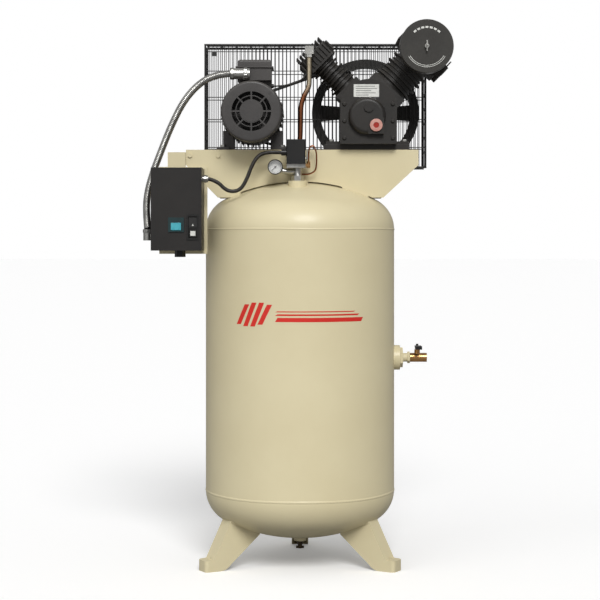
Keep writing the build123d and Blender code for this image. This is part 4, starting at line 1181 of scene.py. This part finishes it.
keep(hub, "frame")
screw = [
    (0.0, 0.002), (0.0028, 0.0018), (0.0042, 0.0008), (0.0045, 0.0), (0.0045, -0.001), (0.0, -0.001),
]
for number, turn in enumerate((45, 135, 225, 315)):
    x = motor_x + 0.081 * math.cos(math.radians(turn))
    z = motor_z + 0.081 * math.sin(math.radians(turn))
    keep(lathed(f"fan_cover_screw_{number}", screw, motor_grey, (x, fan_low.y, z), "Y", 20), "frame")

# --- Pump -----------------------------------------------------------------------------------------
# A two-stage V pump in black painted cast iron: a large first-stage cylinder to the right and a
# small second-stage one to the left, each with its finned head bolted over a valve plate.

iron_black = finish(
    "iron_black", (38, 34, 30), (28, 26, 23), (80, 72, 62),
    roughness=(0.36, 0.55), patch=9, fine=520, coarse=130, coarse_share=0.45, bump=0.35,
    depth=0.0005, wear=0.3, dirt=0.14,
)
aluminium = finish(
    "cast_aluminium", (176, 176, 174), (150, 150, 149), (120, 118, 114),
    metallic=1.0, roughness=(0.34, 0.5), patch=30, fine=900, coarse=160, bump=0.2, wear=0.1, dirt=0.02,
)
sight_rim = finish(
    "sight_rim", (206, 158, 146), (184, 128, 116), (120, 70, 60),
    roughness=(0.25, 0.4), patch=70, fine=1400, bump=0.06, wear=0.1, dirt=0.05,
)
glass_red = finish(
    "sight_red", (172, 52, 42), (150, 44, 36), (110, 40, 34),
    roughness=(0.15, 0.25), patch=60, fine=1600, bump=0.03, wear=0.0, dirt=0.02, coat=0.5,
)
dressed("crankcase", iron_black, round_edge=0.002, segments=3)
dressed("crankcase_cover", iron_black, round_edge=0.0015)
dressed("pump_rails", iron_black)
dressed("oil_sight_glass", sight_rim, glass_red, choose=lambda at, size: int(size.x < 0.03))
dressed("crankshaft", bare_steel, body="flywheel_shaft")
dressed("first_stage_cylinder", iron_black)
dressed("second_stage_cylinder", iron_black)
dressed("first_stage_head", iron_black)
dressed("second_stage_head", iron_black)
dressed("first_stage_piston", aluminium, body="first_piston_body")
dressed("second_stage_piston", aluminium, body="second_piston_body")


for number, (x, z) in enumerate([(x, z) for x in (0.141, 0.295) for z in (1.366, 1.420, 1.474)]):
    shank = [Vector((x, -0.1195, z)), Vector((x, -0.1262, z))]
    head_rings = [(0.0, 0.0068), (0.0050, 0.0068), (0.0062, 0.0060), (0.0067, 0.0048)]
    keep(ringed_tube(f"cover_bolt_{number}", shank, head_rings, 6, iron_black), "frame")
    bpy.data.objects[f"cover_bolt_{number}"].data.polygons.foreach_set("use_smooth", [False] * 20)


def row_of_ribs(tree, given):
    """Cast ribs side by side: one thin block copied along a line of points."""
    row = put(tree, "GeometryNodeMeshLine", mode="OFFSET")
    rib = tree.nodes.new("GeometryNodeMeshCube")
    copies = tree.nodes.new("GeometryNodeInstanceOnPoints")
    wire(
        tree,
        (given, "Count", row, "Count"),
        (given, "First", row, "Start Location"),
        (given, "Step", row, "Offset"),
        (given, "Size", rib, "Size"),
        (row, 0, copies, "Points"),
        (rib, 0, copies, "Instance"),
        (given, "Turn", copies, "Rotation"),
    )
    return copies, 0


def ribs(name, count, first, step, size, turn):
    """A row of cast cooling ribs, their edges rounded as a casting's are."""
    piece = geometry_piece(
        name, row_of_ribs,
        {
            "Count": count,
            "First": tuple(first),
            "Step": tuple(step),
            "Size": size,
            "Turn": (0, turn, 0),
        },
        iron_black,
    )
    edge = piece.modifiers.new("edge", "BEVEL")
    edge.width = 0.0009
    edge.segments = 2
    return keep(piece, "frame")


CRANK = Vector((0.218, -0.015, 1.463))
for stage, lean, waist, reach, low, high, count in (
    ("first", 1, 0.068, 0.090, 0.2235, 0.262, 12),
    ("second", -1, 0.053, 0.060, 0.2125, 0.250, 9),
):
    up = Vector((lean, 0, 1)).normalized()
    side = Vector((1, 0, -lean)).normalized()
    turn = lean * math.radians(45)
    middle = CRANK + up * (low + high) / 2
    pitch = Vector((0, 1, 0)) * (2 * reach - 0.008) / (count - 1)
    across = side * (2 * reach - 0.008) / (count - 1)
    depth = reach - waist
    for face in (-1, 1):
        first = middle + Vector((0, face * (waist + depth / 2), 0)) - across * (count - 1) / 2
        ribs(f"{stage}_head_ribs_{'front' if face < 0 else 'back'}", count, first, across,
             (0.0040, depth, high - low), turn)
        first = middle + side * face * (waist + depth / 2) - pitch * (count - 1) / 2
        ribs(f"{stage}_head_ribs_{'low' if face < 0 else 'high'}", count, first, pitch,
             (depth, 0.0040, high - low), turn)

plate_y = -0.1212
raised_patch("nameplate", plate_corners(0.1706, 0.251, plate_y, 1.4960, 1.5360), 0.0012, print_white)
start = 0.177
for row, end in enumerate((0.238, 0.245, 0.226, 0.241, 0.218)):
    z = 1.5290 - row * 0.0070
    line = plate_corners(start, end, plate_y - 0.0002, z, z + 0.0014)
    raised_patch(f"nameplate_line_{row}", line, 0.0003, moulded_black)

# --- Air filter and air lines ---------------------------------------------------------------------
# The round filter can is pressed steel, painted black, and a wing nut holds it on a stud over a
# pleated paper element. The heads and the tank are joined by bare copper tubes with plated nuts.

filter_black = finish(
    "filter_black", (56, 54, 50), (45, 43, 40), (110, 106, 98),
    roughness=(0.3, 0.42), patch=8, fine=800, coarse=140, bump=0.08, wear=0.15, dirt=0.1, coat=0.1,
)
paper = finish(
    "filter_paper", (206, 180, 132), (188, 160, 112), (150, 120, 80),
    roughness=(0.7, 0.85), patch=30, fine=1400, coarse=220, bump=0.4, wear=0.0, dirt=0.1,
)
dressed(
    "filter_base", filter_black, bare_steel, paper,
    choose=lambda at, size: 0 if size.x > 0.15 else (2 if size.x > 0.1 else 1),
)
dressed("filter_cover", filter_black, round_edge=0.005, segments=4)
dressed("filter_wing_nut", zinc, body="wing_nut", round_edge=0.0007)
tinted_copper = finish(
    "tinted_copper", (150, 92, 62), (112, 72, 50), (70, 46, 34),
    metallic=1.0, roughness=(0.26, 0.42), patch=18, fine=900, coarse=70, bump=0.08, wear=0.1, dirt=0.08,
)
tint = tinted_copper.node_tree
tint_surface = tint.nodes["Principled BSDF"]
old_colour = tint_surface.inputs["Base Color"].links[0].from_socket
tint_place = put(tint, "ShaderNodeTexCoord")
tint_height = put(tint, "ShaderNodeSeparateXYZ")
tint_share = put(tint, "ShaderNodeMapRange", from_min=1.500, from_max=1.545)
tint_mix = put(tint, "ShaderNodeMix", data_type="RGBA")
tint_mix.inputs[7].default_value = linear(204, 190, 164)
tint.links.new(old_colour, tint_mix.inputs[6])
wire(
    tint,
    (tint_place, "Object", tint_height, "Vector"),
    (tint_height, "Z", tint_share, "Value"),
    (tint_share, "Result", tint_mix, 0),
    (tint_mix, 2, tint_surface, "Base Color"),
)
dressed("intercooler", copper, round_edge=0.0)
dressed(
    "discharge_line", tinted_copper, zinc, choose=lambda at, size: int(size.z < 0.1), round_edge=0.0007
)
cover_low, cover_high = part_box("filter_cover")
filter_x, filter_z = (cover_low.x + cover_high.x) / 2, (cover_low.z + cover_high.z) / 2


def printed_arc(name, radius, start, end, width, material):
    """A thin printed arc on the face of the filter can, angles in degrees from straight up."""
    shape = bmesh.new()
    y = cover_low.y - 0.0003
    pairs = []
    for step in range(25):
        turn = math.radians(start + (end - start) * step / 24)
        pairs.append([
            shape.verts.new((filter_x + reach * math.sin(turn), y, filter_z + reach * math.cos(turn)))
            for reach in (radius, radius + width)
        ])
    for (inner, outer), (next_inner, next_outer) in zip(pairs, pairs[1:]):
        shape.faces.new((inner, next_inner, next_outer, outer))
    bmesh.ops.recalc_face_normals(shape, faces=shape.faces)
    for face in shape.faces:
        if face.normal.y > 0:
            face.normal_flip()
    return keep(settled(shape, name, material), "frame")


for number in range(7):
    middle = -39 + number * 13
    printed_arc(f"filter_mark_{number}", 0.0560, middle - 4.5, middle + 4.5, 0.0060, print_white)
printed_arc("filter_line_inner", 0.0600, 120, 240, 0.0014, print_white)
printed_arc("filter_line_outer", 0.0650, 120, 240, 0.0014, print_white)

# --- Flywheel, pulley and belts -------------------------------------------------------------------
# The cast iron flywheel is the pump's fan as well: its six arms are flat blades. Two V belts run
# from the small pulley on the motor's shaft in machined grooves.

belt_rubber = finish(
    "belt_rubber", (36, 35, 34), (26, 26, 26), (80, 76, 70),
    roughness=(0.5, 0.7), patch=14, fine=1600, coarse=300, bump=0.3, wear=0.2, dirt=0.1,
)
dressed("flywheel", iron_black, body="flywheel_shaft", round_edge=0.0016)
dressed("motor_pulley", iron_black, body="motor_shaft", round_edge=0.0012)
dressed("drive_belts", belt_rubber, round_edge=0.0012)

# --- Belt guard -----------------------------------------------------------------------------------
# A cage of welded black wire round the belts: two flat panels of upright wires on four level
# ones, inside a frame of round bar, joined by a perforated rim and held by three feet.

guard_black = finish(
    "guard_black", (40, 39, 38), (30, 30, 30), (90, 86, 80),
    roughness=(0.35, 0.5), patch=12, fine=1000, coarse=180, bump=0.15, wear=0.2, dirt=0.1,
)
dressed("guard_rim", guard_black, round_edge=0.0006)
WIRE_PITCH, WIRE_R, BAR_R = 0.0127, 0.00125, 0.0032


def row_of_wires(tree, given):
    """Upright wires side by side: one thin cylinder copied along a line of points."""
    row = put(tree, "GeometryNodeMeshLine", mode="OFFSET")
    rod = tree.nodes.new("GeometryNodeMeshCylinder")
    copies = tree.nodes.new("GeometryNodeInstanceOnPoints")
    wire(
        tree,
        (given, "Count", row, "Count"),
        (given, "First", row, "Start Location"),
        (given, "Step", row, "Offset"),
        (given, "Sides", rod, "Vertices"),
        (given, "Radius", rod, "Radius"),
        (given, "Length", rod, "Depth"),
        (row, 0, copies, "Points"),
        (rod, 0, copies, "Instance"),
        (given, "Turn", copies, "Rotation"),
    )
    return copies, 0


def wires(name, count, first, step, radius, length, turn=(0, 0, 0)):
    """A row of equal wires of the guard."""
    piece = geometry_piece(
        name, row_of_wires,
        {
            "Count": count,
            "First": first,
            "Step": step,
            "Sides": 12,
            "Radius": radius,
            "Length": length,
            "Turn": turn,
        },
        guard_black,
    )
    smooth_by_angle(piece.data, 50)
    return piece


LEVELS = (1.347, 1.4394, 1.5132, 1.600, 1.677)
for panel in ("guard_front", "guard_rear"):
    low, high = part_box(panel)
    y = (low.y + high.y) / 2
    width, tall = high.x - low.x - 2 * BAR_R, high.z - low.z - 2 * BAR_R
    middle_x, middle_z = (low.x + high.x) / 2, (low.z + high.z) / 2
    gaps = round(width / WIRE_PITCH)
    upright = wires(
        panel + "_uprights", gaps - 1, (low.x + BAR_R + width / gaps, y, middle_z),
        (width / gaps, 0, 0), WIRE_R, tall,
    )
    level_y = y + (WIRE_R if panel == "guard_front" else -WIRE_R)
    across = []
    for number, z in enumerate(LEVELS):
        across.append(wires(
            f"{panel}_level_{number}", 1, (middle_x, level_y, z), (0, 0, 0), WIRE_R * 1.15, width,
            (0, math.radians(90), 0),
        ))
    for end, z in (("low", low.z + BAR_R), ("high", high.z - BAR_R)):
        across.append(wires(
            f"{panel}_bar_{end}", 1, (middle_x, y, z), (0, 0, 0), BAR_R, width + 2 * BAR_R,
            (0, math.radians(90), 0),
        ))
    for end, x in (("left", low.x + BAR_R), ("right", high.x - BAR_R)):
        across.append(wires(f"{panel}_bar_{end}", 1, (x, y, middle_z), (0, 0, 0), BAR_R, tall))
    keep(upright, "frame", panel)
    for bar in across:
        keep(bar, "frame")

clip = plate_corners(-0.292, -0.277, 0.1150, 1.649, 1.664)
raised_patch("guard_clip", clip, 0.0018, guard_black)

# --- Bolts ----------------------------------------------------------------------------------------
# Zinc-plated hexagon bolts hold the motor and the pump to the platform. The two that hold the
# starter bracket were painted with it.

dressed("machine_bolts", zinc, beige, choose=lambda at, size: int(size.y > size.z), round_edge=0.0006)
